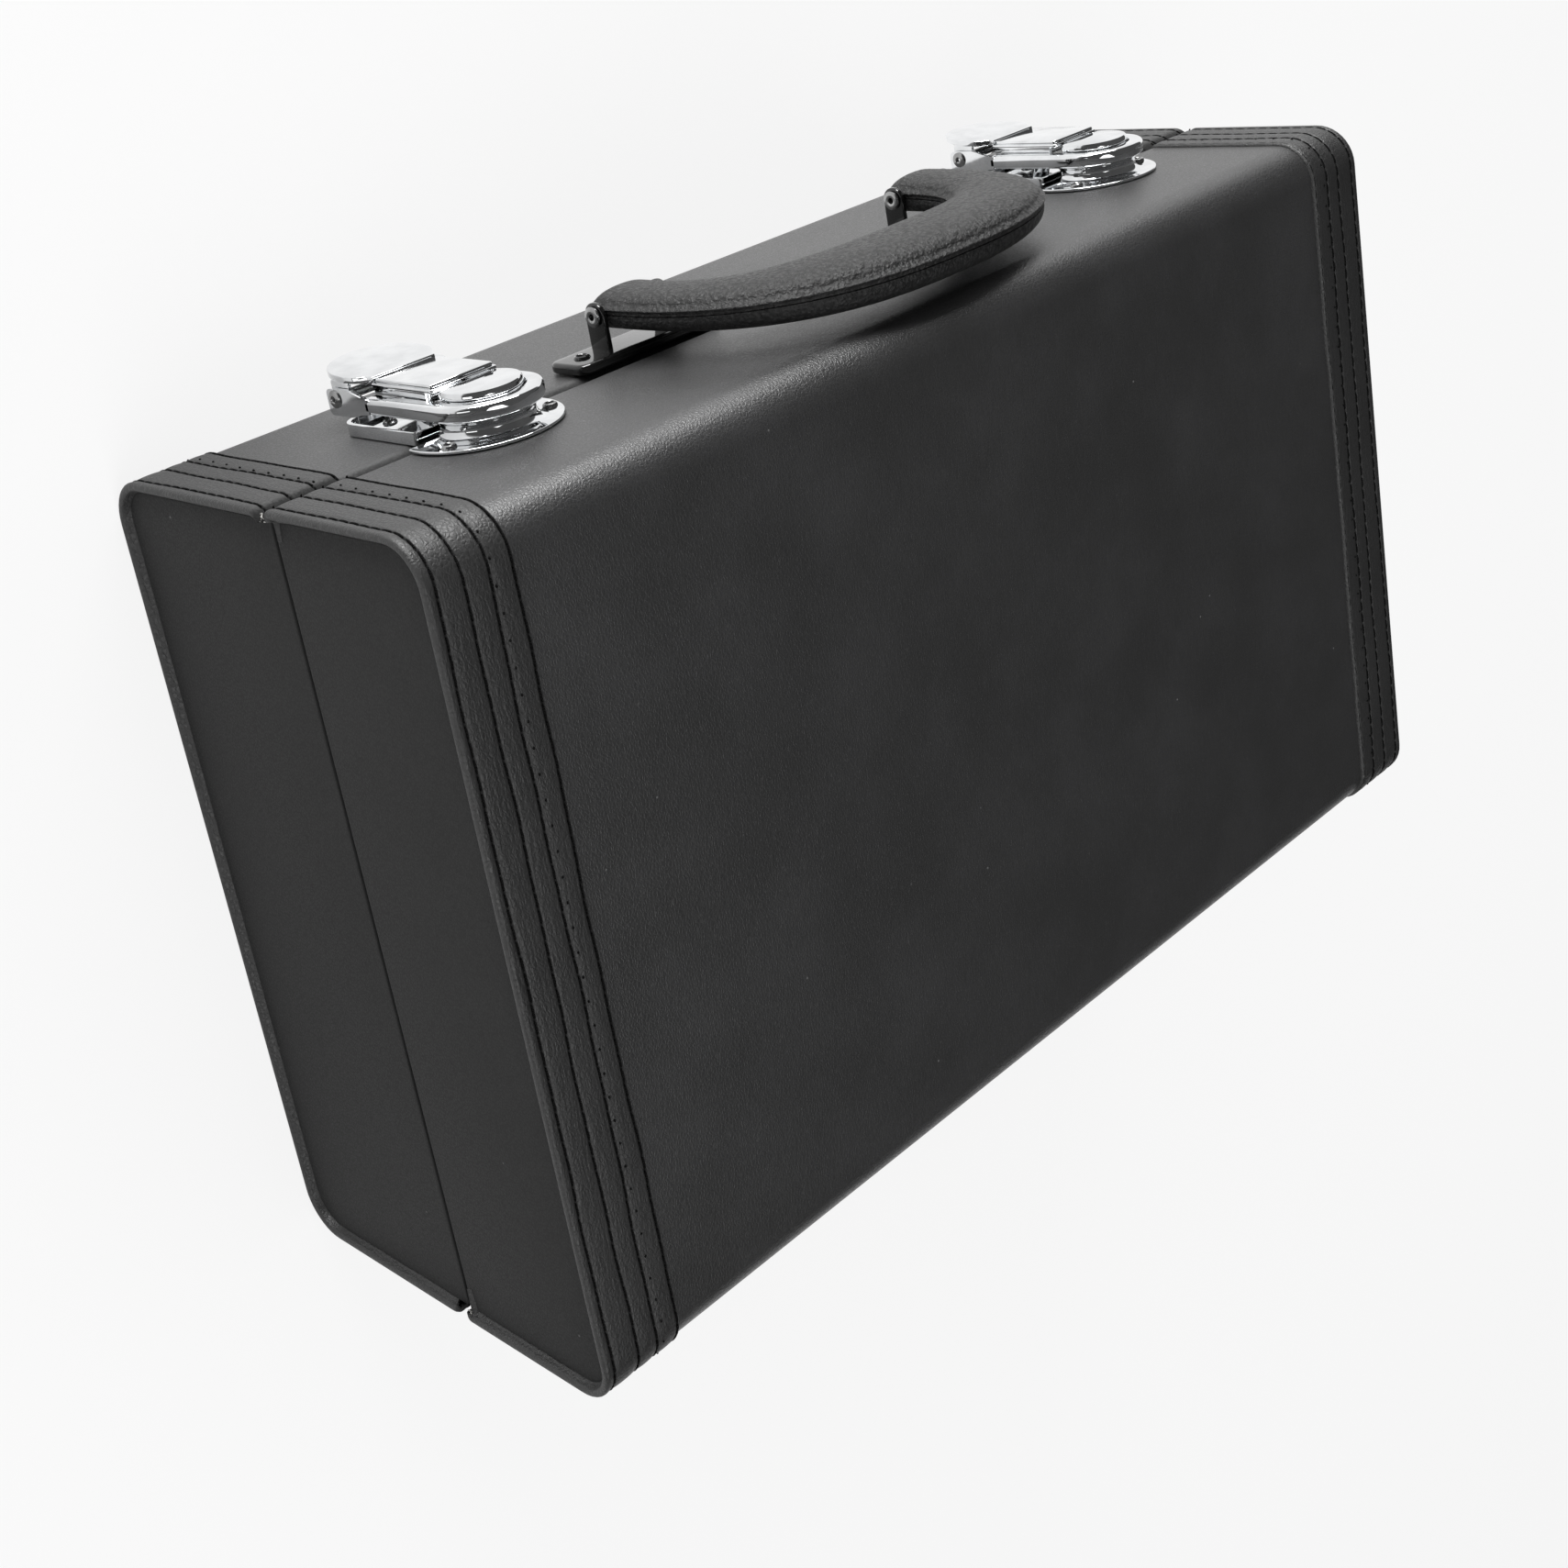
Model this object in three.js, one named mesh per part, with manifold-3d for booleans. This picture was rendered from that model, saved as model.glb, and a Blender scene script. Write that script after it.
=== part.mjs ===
// Clarinet case: two leatherette-covered plywood trays joined by two hinges, with two
// draw latches and a moulded carrying handle on the front.
// Millimetres. +Z up, +X along the length, the handle and the latches on the -Y side.
// The origin lies under the middle of the whole object, on the surface that it stands on.
import * as THREE from "three";
import { mergeVertices } from "three/addons/utils/BufferGeometryUtils.js";
import Module from "manifold-3d";

const wasm = await Module();
wasm.setup();

// The case
const caseLength = 362;
const caseWidth = 220;
const baseDepth = 69;
const lidDepth = 57;
const edgeRadius = 12;
const seamGap = 0.3;
// Radius of the cover's fold at the seam: wide on the base, tight on the lid
const baseFold = 5;
const lidFold = 2;
// Clearance between two pieces that rest on each other or lie in each other
const seat = 0.3;
// How far a cut runs past the faces that it opens
const overrun = 4;
// Points of an outline nearer than this share of the clearance are one point
const weldShare = 0.001;

// Covering and walls
const coverThickness = 1;
const bandProud = 1;
const bandWidth = 24;
const rimProud = 2;
const rimThickness = 3;
const rimRound = 0.9;
const panelThickness = 1.2;
const boxWall = 5;

// Plush insert of the base: recesses for the five pieces of the instrument
const insertDrop = 3;
const insertWall = 3;
const ribWidth = 5;
const lowerJointLength = 252;
const lowerJointWidth = 50;
const lowerJointSink = 40;
const upperJointLength = 228;
const upperJointWidth = 44;
const upperJointSink = 37;
const bellRadius = 40.5;
const bellSocketRadius = 24;
const bellLength = 108;
const bellLipLength = 14;
const bellSink = 1;
const mouthpieceLength = 102;
const mouthpieceWidth = 42;
const mouthpieceSink = 34;
const barrelLength = 74;
const barrelWidth = 40;
const barrelSink = 32;
const pocketLength = 122;
const pocketSink = 42;
const pocketCorner = 8;
const fingerNotchWidth = 26;
const fingerNotchSink = 18;

// Padding of the lid
const padMargin = 3;
const padEdge = 8;
const padCrown = 5;
const padDrawIn = 2.5;
const padCorner = 14;
const padSide = 3;
const padStepsLong = 16;
const padStepsWide = 10;

// Hinges
const hingeFromEnd = 66;
const hingeWidth = 40;
const hingeLeafDrop = 17;
const hingeGauge = 1;
const knuckleRadius = 2.6;
const knuckleWall = 1.2;
const knuckleCount = 5;
const hingePinClearance = 0.2;
const hingePinHead = 0.8;
const hingeRivetRadius = 2.2;
const hingeRivetRise = 0.7;
const hingeRivetSpacing = 13;

// Latches: heights are counted from the cover, rises from the seam
const plateGauge = 0.8;
const keeperPlateRadius = 20;
const keeperPlateRise = 4;
const keeperPlateStart = 0.6;
const keeperRivetSpacing = 31;
const keeperRivetRise = 11;
const drumRise = 6.5;
const drumFlatDrop = 3.8;
const drumFootRadius = 14.5;
const drumWaistRadius = 12;
const drumShoulderRadius = 13;
const drumWaistHeight = 3.8;
const drumShoulderStart = 5.4;
const drumShoulderHeight = 8.2;
const bossRadius = 10.2;
const bossNeckRadius = 9.8;
const bossHeight = 12.1;
const bossRound = 0.6;
const panHalfWidth = 15.7;
const panTop = 1.5;
const panBottom = 33;
const panCorner = 5.5;
const panRimHeight = 3;
const panRimThickness = 1;
const panEarSpan = 17.6;
const panEarThickness = 1.2;
const panEarRadius = 2.3;
const panEarFlare = 4;
const panRivetSpacing = 13;
const panRivetDrop = 24.4;
const leverPinDrop = 4.5;
const leverPinHeight = 9.8;
const leverPinRadius = 1.1;
// How far the lever opens, degrees
const leverOpening = 110;
const padHalfWidth = 9.7;
const ledgeHalfWidth = 10.3;
const padLength = 22.8;
const padFront = 0.3;
const padHeight = 13.4;
const leverGauge = 1;
const padBevel = 0.5;
const leverEyeRadius = 2.9;
const tongueHalfWidth = 13.3;
const tongueCentreDrop = 32.4;
const tongueLift = 1.8;
const tongueNeckLength = 5;
const tongueEyeRadius = 2.9;
const ringOuterRadius = 14.8;
const ringInnerRadius = 10.9;
const ringHeight = 10;
const ringGauge = 1.2;
const ringTurnDown = 2.8;
const ringEdge = 1.2;
const armEnd = 21;
const linkPinDrop = 33;
const linkPinHeight = 9.1;
const linkPinRadius = 1.6;
const linkEarRise = 2.5;
const linkEarDrop = 4.3;
const linkEarReach = 3.4;
const linkEarCorner = 1.5;
const linkEarLead = 6;
const pinClearance = 0.2;
const rivetHeadRadius = 2.2;
const rivetHeadHeight = 0.7;
const rivetShankRadius = 1.3;

// Handle and its brackets
const bracketCentre = 58.5;
const bracketLength = 49;
const bracketWidth = 14.2;
const bracketStart = 0.8;
const bracketHeight = 2.9;
const bracketCorner = 3;
const bracketGauge = 1.2;
const bracketBevel = 0.9;
const bracketRivetSpacing = 37;
const handleAxisDrop = 9;
const handleAxisHeight = 11.8;
const earSpan = 23.5;
const earThickness = 1.5;
const earHalfWidth = 3.5;
const hubCentre = 58;
const hubRadius = 6;
const handlePinRadius = 1.8;
const handlePinHead = 2.7;
const handlePinHeadHeight = 0.8;
const gripReach = 50;
const gripHalfWidth = 15;
const gripHalfThickness = 7;
const gripLean = 0.5;
// Bead beside the parting line of the upper shell, in shares of the grip's thickness and width
const beadRiseShare = 0.2;
const beadHalfShare = 0.08;
const beadProudShare = 0.045;
const gripCurvePower = 2.65;
const gripSectionPower = 2.5;
const gripSteps = 28;
const gripSectionSteps = 10;

// Worked out from the sizes above
const caseHeight = baseDepth + lidDepth;
const boxInset = bandProud + coverThickness + seat;
const bandThickness = bandProud + coverThickness;
const panelFace = caseLength / 2 - rimProud;
const boxEnd = panelFace - panelThickness - seat;
const coverY = caseWidth / 2 - bandProud;
const wallInnerY = caseWidth / 2 - boxInset - boxWall;
const hingeAxisY = coverY + seat + knuckleRadius;
const hingeCentre = caseLength / 2 - hingeFromEnd;
// Each latch sits midway between the handle's bracket and the band
const latchCentre = (bracketCentre + bracketLength / 2 + caseLength / 2 - bandWidth) / 2;

// The two halves: each lies open side up, as the base does
const baseHalf = { depth: baseDepth, rim: baseDepth - seamGap / 2, fold: baseFold };
const lidHalf = { depth: lidDepth, rim: lidDepth - seamGap / 2, fold: lidFold };

const black = { color: 0x1c1c1d, roughness: 0.62, metalness: 0 };
const bandBlack = { color: 0x19191a, roughness: 0.6, metalness: 0 };
const panelBlack = { color: 0x232324, roughness: 0.75, metalness: 0 };
const plywood = { color: 0xb08a5b, roughness: 0.8, metalness: 0 };
const plush = { color: 0x14151c, roughness: 1, metalness: 0 };
const chrome = { color: 0xd9dbde, roughness: 0.12, metalness: 1 };
const steel = { color: 0xa9abad, roughness: 0.35, metalness: 1 };
const lacquer = { color: 0x0c0c0d, roughness: 0.22, metalness: 0.3 };
const moulded = { color: 0x242425, roughness: 0.5, metalness: 0 };

// Turns a section drawn in (y, z), or in (v, h) of a front fitting, so that it is pushed
// along X or along the fitting's u
const alongX = new THREE.Matrix4().makeBasis(
  new THREE.Vector3(0, 1, 0),
  new THREE.Vector3(0, 0, 1),
  new THREE.Vector3(1, 0, 0),
);

function shift(x, y, z) {
  return new THREE.Matrix4().makeTranslation(x, y, z);
}

// A closed geometry as a solid that can be joined and cut.
function solid(geometry, ...places) {
  const bare = geometry.clone();
  bare.deleteAttribute("normal");
  bare.deleteAttribute("uv");
  for (const place of places) bare.applyMatrix4(place);
  const merged = mergeVertices(bare);
  const corners = [];
  for (let i = 0; i < merged.index.count; i += 3) {
    const [a, b, c] = [0, 1, 2].map((k) => merged.index.getX(i + k));
    if (a !== b && b !== c && c !== a) corners.push(a, b, c);
  }
  const make = (order) =>
    new wasm.Manifold(
      new wasm.Mesh({
        numProp: 3,
        vertProperties: merged.attributes.position.array,
        triVerts: new Uint32Array(order),
      }),
    );
  const made = make(corners);
  return made.volume() < 0 ? make(corners.reverse()) : made;
}

function join(first, ...others) {
  return others.reduce((sum, other) => sum.add(other), first);
}

function cut(body, ...tools) {
  return tools.reduce((rest, tool) => rest.subtract(tool), body);
}

// The surface of a solid.
function surface(body) {
  const mesh = body.getMesh();
  const geometry = new THREE.BufferGeometry();
  geometry.setAttribute("position", new THREE.BufferAttribute(mesh.vertProperties, 3));
  geometry.setIndex(new THREE.BufferAttribute(mesh.triVerts, 1));
  return geometry;
}

// A solid as a named mesh with its own material.
function piece(name, body, finish) {
  const geometry = surface(body);
  geometry.computeVertexNormals();
  const made = new THREE.Mesh(geometry, new THREE.MeshStandardMaterial(finish));
  made.name = name;
  return made;
}

// A shape with its curves turned into points, none of them twice.
function outline(shape, segments) {
  const points = shape.getPoints(segments);
  const near = (a, b) => a.distanceTo(b) < seat * weldShare;
  const kept = points.filter((p, i) => i === 0 || !near(p, points[i - 1]));
  if (near(kept[0], kept[kept.length - 1])) kept.pop();
  return new THREE.Shape(kept);
}

function extrude(shape, depth, segments = 3) {
  return new THREE.ExtrudeGeometry(outline(shape, segments), { depth, bevelEnabled: false });
}

// An extrusion whose edges are rounded, inside the given outline and depth.
function softExtrude(shape, depth, round, segments = 3) {
  const geometry = new THREE.ExtrudeGeometry(outline(shape, segments), {
    depth: depth - 2 * round,
    bevelSize: round,
    bevelThickness: round,
    bevelOffset: -round,
    bevelSegments: 2,
  });
  return geometry.translate(0, 0, round);
}

// A profile that closes on the axis, turned about the Y axis.
function turned(profile, divisions, segments) {
  const points = profile.getPoints(divisions);
  const kept = points.filter((p, i) => i === 0 || !p.equals(points[i - 1]));
  return new THREE.LatheGeometry(kept, segments);
}

function roundedRectangle(x0, x1, y0, y1, radius) {
  const shape = new THREE.Shape();
  shape.absarc(x1 - radius, y1 - radius, radius, 0, Math.PI / 2, false);
  shape.absarc(x0 + radius, y1 - radius, radius, Math.PI / 2, Math.PI, false);
  shape.absarc(x0 + radius, y0 + radius, radius, Math.PI, 1.5 * Math.PI, false);
  shape.absarc(x1 - radius, y0 + radius, radius, -Math.PI / 2, 0, false);
  return shape;
}

function block(x0, x1, y0, y1, z0, z1) {
  const box = new THREE.BoxGeometry(x1 - x0, y1 - y0, z1 - z0);
  return solid(box, shift((x0 + x1) / 2, (y0 + y1) / 2, (z0 + z1) / 2));
}

// A round bar between two places on X, about the axis through (y, z).
function bar(radius, x0, x1, y, z, segments = 12) {
  const geometry = new THREE.CylinderGeometry(radius, radius, x1 - x0, segments);
  return solid(geometry.rotateZ(-Math.PI / 2), shift((x0 + x1) / 2, y, z));
}

// A round bar that stands on a front fitting, from one height to another.
function post(radius, u, v, h0, h1, segments = 10) {
  const geometry = new THREE.CylinderGeometry(radius, radius, h1 - h0, segments);
  return solid(geometry.rotateX(Math.PI / 2), shift(u, v, (h0 + h1) / 2));
}

// Closed section of a tray in (y, z), with rounded long edges, up to a flat top.
function trayShape(inset, top) {
  const half = caseWidth / 2 - inset;
  const radius = edgeRadius - inset;
  const shape = new THREE.Shape();
  shape.absarc(-half + radius, inset + radius, radius, Math.PI, 1.5 * Math.PI, false);
  shape.absarc(half - radius, inset + radius, radius, -Math.PI / 2, 0, false);
  shape.lineTo(half, top);
  shape.lineTo(-half, top);
  return shape;
}

// The same section, folded in at the seam. What is wrapped round one half shares the middle
// of the fold, and lies a drop below the rim.
function foldedShape(half, inset, drop) {
  const side = caseWidth / 2 - inset;
  const radius = edgeRadius - inset;
  const foldY = coverY - half.fold;
  const foldZ = half.rim - half.fold;
  const reach = side - foldY;
  const rise = half.fold - drop;
  const shape = new THREE.Shape();
  shape.absarc(-side + radius, inset + radius, radius, Math.PI, 1.5 * Math.PI, false);
  shape.absarc(side - radius, inset + radius, radius, -Math.PI / 2, 0, false);
  shape.absellipse(foldY, foldZ, reach, rise, 0, Math.PI / 2, false, 0);
  shape.absellipse(-foldY, foldZ, reach, rise, Math.PI / 2, Math.PI, false, 0);
  return shape;
}

// Section of the rolled rim in (y, z), drawn on past the seam.
function rimShape(top) {
  const side = caseWidth / 2;
  const inner = edgeRadius - rimThickness;
  const shape = new THREE.Shape();
  shape.absarc(-side + edgeRadius, edgeRadius, edgeRadius, Math.PI, 1.5 * Math.PI, false);
  shape.absarc(side - edgeRadius, edgeRadius, edgeRadius, -Math.PI / 2, 0, false);
  shape.lineTo(side, top);
  shape.lineTo(side - rimThickness, top);
  shape.absarc(side - edgeRadius, edgeRadius, inner, 0, -Math.PI / 2, true);
  shape.absarc(-side + edgeRadius, edgeRadius, inner, -Math.PI / 2, -Math.PI, true);
  shape.lineTo(-side + rimThickness, top);
  shape.lineTo(-side, top);
  return shape;
}

function pushed(shape, x0, x1, segments) {
  return solid(extrude(shape, x1 - x0, segments), alongX, shift(x0, 0, 0));
}

// Plywood tray of one half, rounded at the seam under the fold.
function box(half) {
  const outer = pushed(foldedShape(half, boxInset, coverThickness + seat), -boxEnd, boxEnd);
  const hollow = trayShape(boxInset + boxWall, half.rim + overrun);
  return cut(outer, pushed(hollow, -boxEnd + boxWall, boxEnd - boxWall));
}

// A strip wrapped round one half and turned over its rim, from one place on X to another.
function wrapped(half, inset, x0, x1) {
  const inside = foldedShape(half, bandThickness, coverThickness);
  const mouth = block(
    x0 - overrun,
    x1 + overrun,
    -wallInnerY,
    wallInnerY,
    half.rim - half.fold,
    half.rim + overrun,
  );
  return cut(
    pushed(foldedShape(half, inset, 0), x0, x1),
    pushed(inside, x0 - overrun, x1 + overrun),
    mouth,
  );
}

// Leatherette between the bands of one half.
function cover(half) {
  const end = caseLength / 2 - bandWidth - seat;
  return wrapped(half, bandProud, -end, end);
}

// Stitched band at the +X end of one half, with the rolled rim that frames the end panel.
function band(half) {
  const end = caseLength / 2;
  const rimStart = boxEnd + seat;
  const rimInner = caseWidth / 2 - rimThickness;
  const recess = block(boxEnd, end, -rimInner, rimInner, edgeRadius, half.rim + overrun);
  const strip = cut(wrapped(half, 0, end - bandWidth, rimStart + rimRound), recess);
  const rolled = softExtrude(rimShape(half.rim + overrun), end - rimStart, rimRound);
  const rim = solid(rolled, alongX, shift(rimStart, 0, 0));
  return join(strip, rim.intersect(pushed(foldedShape(half, 0, 0), rimStart, end)));
}

// Smooth covered board inside the rim, at the +X end of one half. Its covering is turned
// over the end wall of the tray.
function endPanel(half) {
  const back = panelFace - panelThickness;
  const board = pushed(trayShape(rimThickness + seat, half.rim), back, panelFace);
  const lip = block(
    boxEnd - boxWall,
    panelFace,
    -wallInnerY + seat,
    wallInnerY - seat,
    half.rim - coverThickness,
    half.rim,
  );
  const outside = pushed(foldedShape(half, 0, 0), boxEnd - boxWall, panelFace);
  return join(board, lip).intersect(outside);
}

function halfPieces(name, half) {
  const group = new THREE.Group();
  group.add(piece(name + "_box", box(half), plywood));
  group.add(piece(name + "_cover", cover(half), black));
  for (const [end, side] of [["left", -1], ["right", 1]]) {
    const turned = new THREE.Group();
    turned.rotation.z = side < 0 ? Math.PI : 0;
    turned.add(piece(name + "_band_" + end, band(half), bandBlack));
    turned.add(piece(name + "_end_panel_" + end, endPanel(half), panelBlack));
    group.add(turned);
  }
  return group;
}

// A recess with a round bottom, along X.
function trough(x0, x1, y, width, top, sink) {
  const radius = width / 2;
  const shape = new THREE.Shape();
  shape.absarc(y, top - sink + radius, radius, Math.PI, 2 * Math.PI, false);
  shape.lineTo(y + radius, top + overrun);
  shape.lineTo(y - radius, top + overrun);
  return pushed(shape, x0, x1, 5);
}

// Recess of the bell: a lip, a flare and the socket, with the axis along Y.
function bellRecess(x, y0, z) {
  const flare = new THREE.Path();
  flare.moveTo(0, 0);
  flare.lineTo(bellRadius, 0);
  flare.lineTo(bellRadius, bellLipLength);
  flare.quadraticCurveTo(bellSocketRadius, bellLength / 2, bellSocketRadius, bellLength);
  flare.lineTo(0, bellLength);
  return solid(turned(flare, 4, 24), shift(x, y0, z));
}

// Plush-covered insert: rows from the hinge side to the front.
function insert() {
  const inset = boxInset + boxWall + seat;
  const top = baseDepth - insertDrop;
  const endX = boxEnd - boxWall - seat;
  const innerX = endX - insertWall;
  const innerY = caseWidth / 2 - inset - insertWall;
  const floor = boxInset + boxWall + seat;
  const body = pushed(trayShape(inset, top), -endX, endX).intersect(
    block(-endX, endX, -caseWidth, caseWidth, floor, top),
  );
  const lowerY = innerY - lowerJointWidth / 2;
  const upperY = lowerY - lowerJointWidth / 2 - ribWidth - upperJointWidth / 2;
  const bellX = innerX - bellRadius;
  const bellY = innerY - bellLength;
  const frontTop = upperY - upperJointWidth / 2 - ribWidth;
  const frontY = (frontTop - innerY) / 2;
  const mouthpieceX = -innerX + pocketLength + 2 * ribWidth;
  const barrelX = innerX - barrelLength;
  const notchX = -innerX + upperJointLength / 2;
  const pocket = roundedRectangle(
    -innerX,
    -innerX + pocketLength,
    -innerY,
    frontTop,
    pocketCorner,
  );
  const pocketCut = solid(extrude(pocket, pocketSink + overrun, 4), shift(0, 0, top - pocketSink));
  const notch = block(
    notchX - fingerNotchWidth / 2,
    notchX + fingerNotchWidth / 2,
    upperY,
    lowerY,
    top - fingerNotchSink,
    top + overrun,
  );
  return cut(
    body,
    trough(-innerX, -innerX + lowerJointLength, lowerY, lowerJointWidth, top, lowerJointSink),
    trough(-innerX, -innerX + upperJointLength, upperY, upperJointWidth, top, upperJointSink),
    bellRecess(bellX, bellY, top - bellSink),
    trough(mouthpieceX, mouthpieceX + mouthpieceLength, frontY, mouthpieceWidth, top, mouthpieceSink),
    trough(barrelX, barrelX + barrelLength, frontY, barrelWidth, top, barrelSink),
    pocketCut,
    notch,
  );
}

// Crowned padding under the lid's ceiling: sides drawn in between the corners.
function lidPad() {
  const halfX = boxEnd - boxWall - seat - padMargin;
  const halfY = caseWidth / 2 - boxInset - boxWall - seat - padMargin;
  const ceiling = caseHeight - boxInset - boxWall - seat;
  const geometry = new THREE.BoxGeometry(
    2 * halfX,
    2 * halfY,
    padEdge,
    padStepsLong,
    padStepsWide,
    2,
  );
  const place = geometry.attributes.position;
  for (let i = 0; i < place.count; i++) {
    const a = place.getX(i) / halfX;
    const b = place.getY(i) / halfY;
    const low = 0.5 - place.getZ(i) / padEdge;
    const middle = Math.abs(low - 0.5) < 0.25 ? 0 : 1;
    const fall = (1 - a ** 4) * (1 - b ** 4);
    const round = padSide * (middle * low);
    const x = a * (halfX - padDrawIn * (1 - b * b) - round);
    const y = b * (halfY - padDrawIn * (1 - a * a) - round);
    const corner = padCorner * (1 - Math.SQRT1_2) * (a * b) ** 8;
    place.setXYZ(
      i,
      x - Math.sign(a) * corner,
      y - Math.sign(b) * corner,
      ceiling - low * (padEdge + padCrown * fall),
    );
  }
  return solid(geometry);
}

// Leaf of one hinge, with its knuckles about the axis at the seam, behind the cover.
function hingeLeaf(centre, up) {
  const step = hingeWidth / knuckleCount;
  const start = centre - hingeWidth / 2;
  const clear = knuckleRadius + seat;
  const low = baseDepth - hingeLeafDrop;
  const high = baseDepth - clear;
  const plateShape = roundedRectangle(start, start + hingeWidth, low, high, hingeRivetRadius);
  const face = coverY + seat;
  const plate = solid(
    extrude(plateShape, hingeGauge, 3).rotateX(Math.PI / 2),
    shift(0, face + hingeGauge, 0),
  );
  const parts = [plate];
  for (let i = 0; i < knuckleCount; i++) {
    if ((i % 2 === 1) === up) continue;
    const x0 = start + i * step + seat / 2;
    const x1 = start + (i + 1) * step - seat / 2;
    parts.push(bar(knuckleRadius, x0, x1, hingeAxisY, baseDepth));
    parts.push(block(x0, x1, face, face + hingeGauge, high - hingeGauge, baseDepth));
  }
  for (const k of [-1, 0, 1]) {
    const head = new THREE.CylinderGeometry(
      hingeRivetRadius / 2,
      hingeRivetRadius,
      hingeRivetRise,
      12,
    );
    const rise = face + hingeGauge + hingeRivetRise / 2;
    parts.push(solid(head, shift(centre + k * hingeRivetSpacing, rise, (low + high) / 2)));
  }
  const bore = bar(
    knuckleRadius - knuckleWall,
    start - overrun,
    start + hingeWidth + overrun,
    hingeAxisY,
    baseDepth,
  );
  return cut(join(...parts), bore);
}

// A leaf for the lid is the base's leaf turned over about the hinge axis.
function lidLeaf(centre) {
  const flipped = new THREE.Matrix4().makeScale(1, 1, -1).setPosition(0, 0, 2 * baseDepth);
  return solid(surface(hingeLeaf(centre, false)), flipped);
}

function hingePin(centre) {
  const radius = knuckleRadius - knuckleWall - hingePinClearance;
  const half = hingeWidth / 2 + seat;
  const x0 = centre - half;
  const x1 = centre + half;
  const head = radius + knuckleWall;
  return join(
    bar(radius, x0 - hingePinHead, x1 + hingePinHead, hingeAxisY, baseDepth),
    bar(head, x0 - hingePinHead, x0, hingeAxisY, baseDepth),
    bar(head, x1, x1 + hingePinHead, hingeAxisY, baseDepth),
  );
}

// Fittings on the front are drawn in (u, v, h): along the case, up from the seam, out from
// the cover. This turns and places them.
function frontGroup(x) {
  const group = new THREE.Group();
  group.rotation.x = Math.PI / 2;
  group.position.set(x, -coverY, baseDepth);
  return group;
}

// A tube rivet: its shank goes through the plate, and its rolled head has a dimple.
function rivet(u, v, plateTop) {
  const low = plateTop + seat;
  const top = low + rivetHeadHeight;
  const bore = rivetShankRadius / 2;
  const profile = new THREE.Path();
  profile.moveTo(0, seat);
  profile.lineTo(rivetShankRadius, seat);
  profile.lineTo(rivetShankRadius, low);
  profile.lineTo(rivetHeadRadius, low);
  profile.quadraticCurveTo(rivetHeadRadius, top, (rivetHeadRadius + bore) / 2, top);
  profile.quadraticCurveTo(bore, top, bore, low);
  profile.lineTo(0, low);
  return solid(turned(profile, 2, 8).rotateX(Math.PI / 2), shift(u, v, 0));
}

function rivetHole(u, v, low, high) {
  return post(rivetShankRadius + pinClearance, u, v, low - overrun, high + overrun);
}

// D-shaped plate on the lid with the waisted drum that the link hooks over.
function keeper() {
  const plateTop = seat + plateGauge;
  const plateShape = new THREE.Shape();
  const drop = keeperPlateRise - keeperPlateStart;
  const cutAngle = Math.asin(drop / keeperPlateRadius);
  plateShape.absarc(0, keeperPlateRise, keeperPlateRadius, -cutAngle, Math.PI + cutAngle, false);
  const plate = solid(extrude(plateShape, plateGauge, 12), shift(0, 0, seat));
  const profile = new THREE.Path();
  profile.moveTo(0, seat);
  profile.lineTo(drumFootRadius, seat);
  profile.lineTo(drumFootRadius, plateTop);
  profile.quadraticCurveTo(drumWaistRadius, plateTop, drumWaistRadius, drumWaistHeight);
  profile.quadraticCurveTo(
    drumWaistRadius,
    drumShoulderStart,
    drumShoulderRadius,
    drumShoulderStart,
  );
  profile.lineTo(drumShoulderRadius, drumShoulderHeight - bossRound);
  profile.quadraticCurveTo(
    drumShoulderRadius,
    drumShoulderHeight,
    drumShoulderRadius - bossRound,
    drumShoulderHeight,
  );
  profile.lineTo(bossNeckRadius, drumShoulderHeight);
  profile.lineTo(bossRadius, ringHeight);
  profile.lineTo(bossRadius, bossHeight - bossRound);
  profile.quadraticCurveTo(bossRadius, bossHeight, bossRadius - bossRound, bossHeight);
  profile.lineTo(0, bossHeight);
  const drum = solid(turned(profile, 2, 26).rotateX(Math.PI / 2), shift(0, drumRise, 0));
  const flat = drumRise - drumFlatDrop;
  const reach = drumRise + drumFootRadius + overrun;
  const front = block(-reach, reach, flat, reach, 0, bossHeight + overrun);
  return cut(
    join(plate, drum.intersect(front)),
    rivetHole(-keeperRivetSpacing / 2, keeperRivetRise, seat, plateTop),
    rivetHole(keeperRivetSpacing / 2, keeperRivetRise, seat, plateTop),
  );
}

// Tray under the lever, with its rolled rim and the two ears of the lever's pin.
function pan() {
  const floorTop = seat + plateGauge;
  const outer = panShape(0);
  const inner = panShape(panRimThickness);
  const tray = cut(
    solid(softExtrude(outer, panRimHeight, panRimThickness / 3, 3), shift(0, 0, seat)),
    solid(extrude(inner, panRimHeight + overrun, 3), shift(0, 0, floorTop)),
  );
  const parts = [tray];
  for (const side of [-1, 1]) {
    parts.push(panEar(side < 0 ? -panEarSpan / 2 : panEarSpan / 2 - panEarThickness));
  }
  return cut(
    join(...parts),
    bar(leverPinRadius + pinClearance, -panEarSpan, panEarSpan, -leverPinDrop, leverPinHeight),
    rivetHole(-panRivetSpacing / 2, -panRivetDrop, seat, floorTop),
    rivetHole(panRivetSpacing / 2, -panRivetDrop, seat, floorTop),
  );
}

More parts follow.
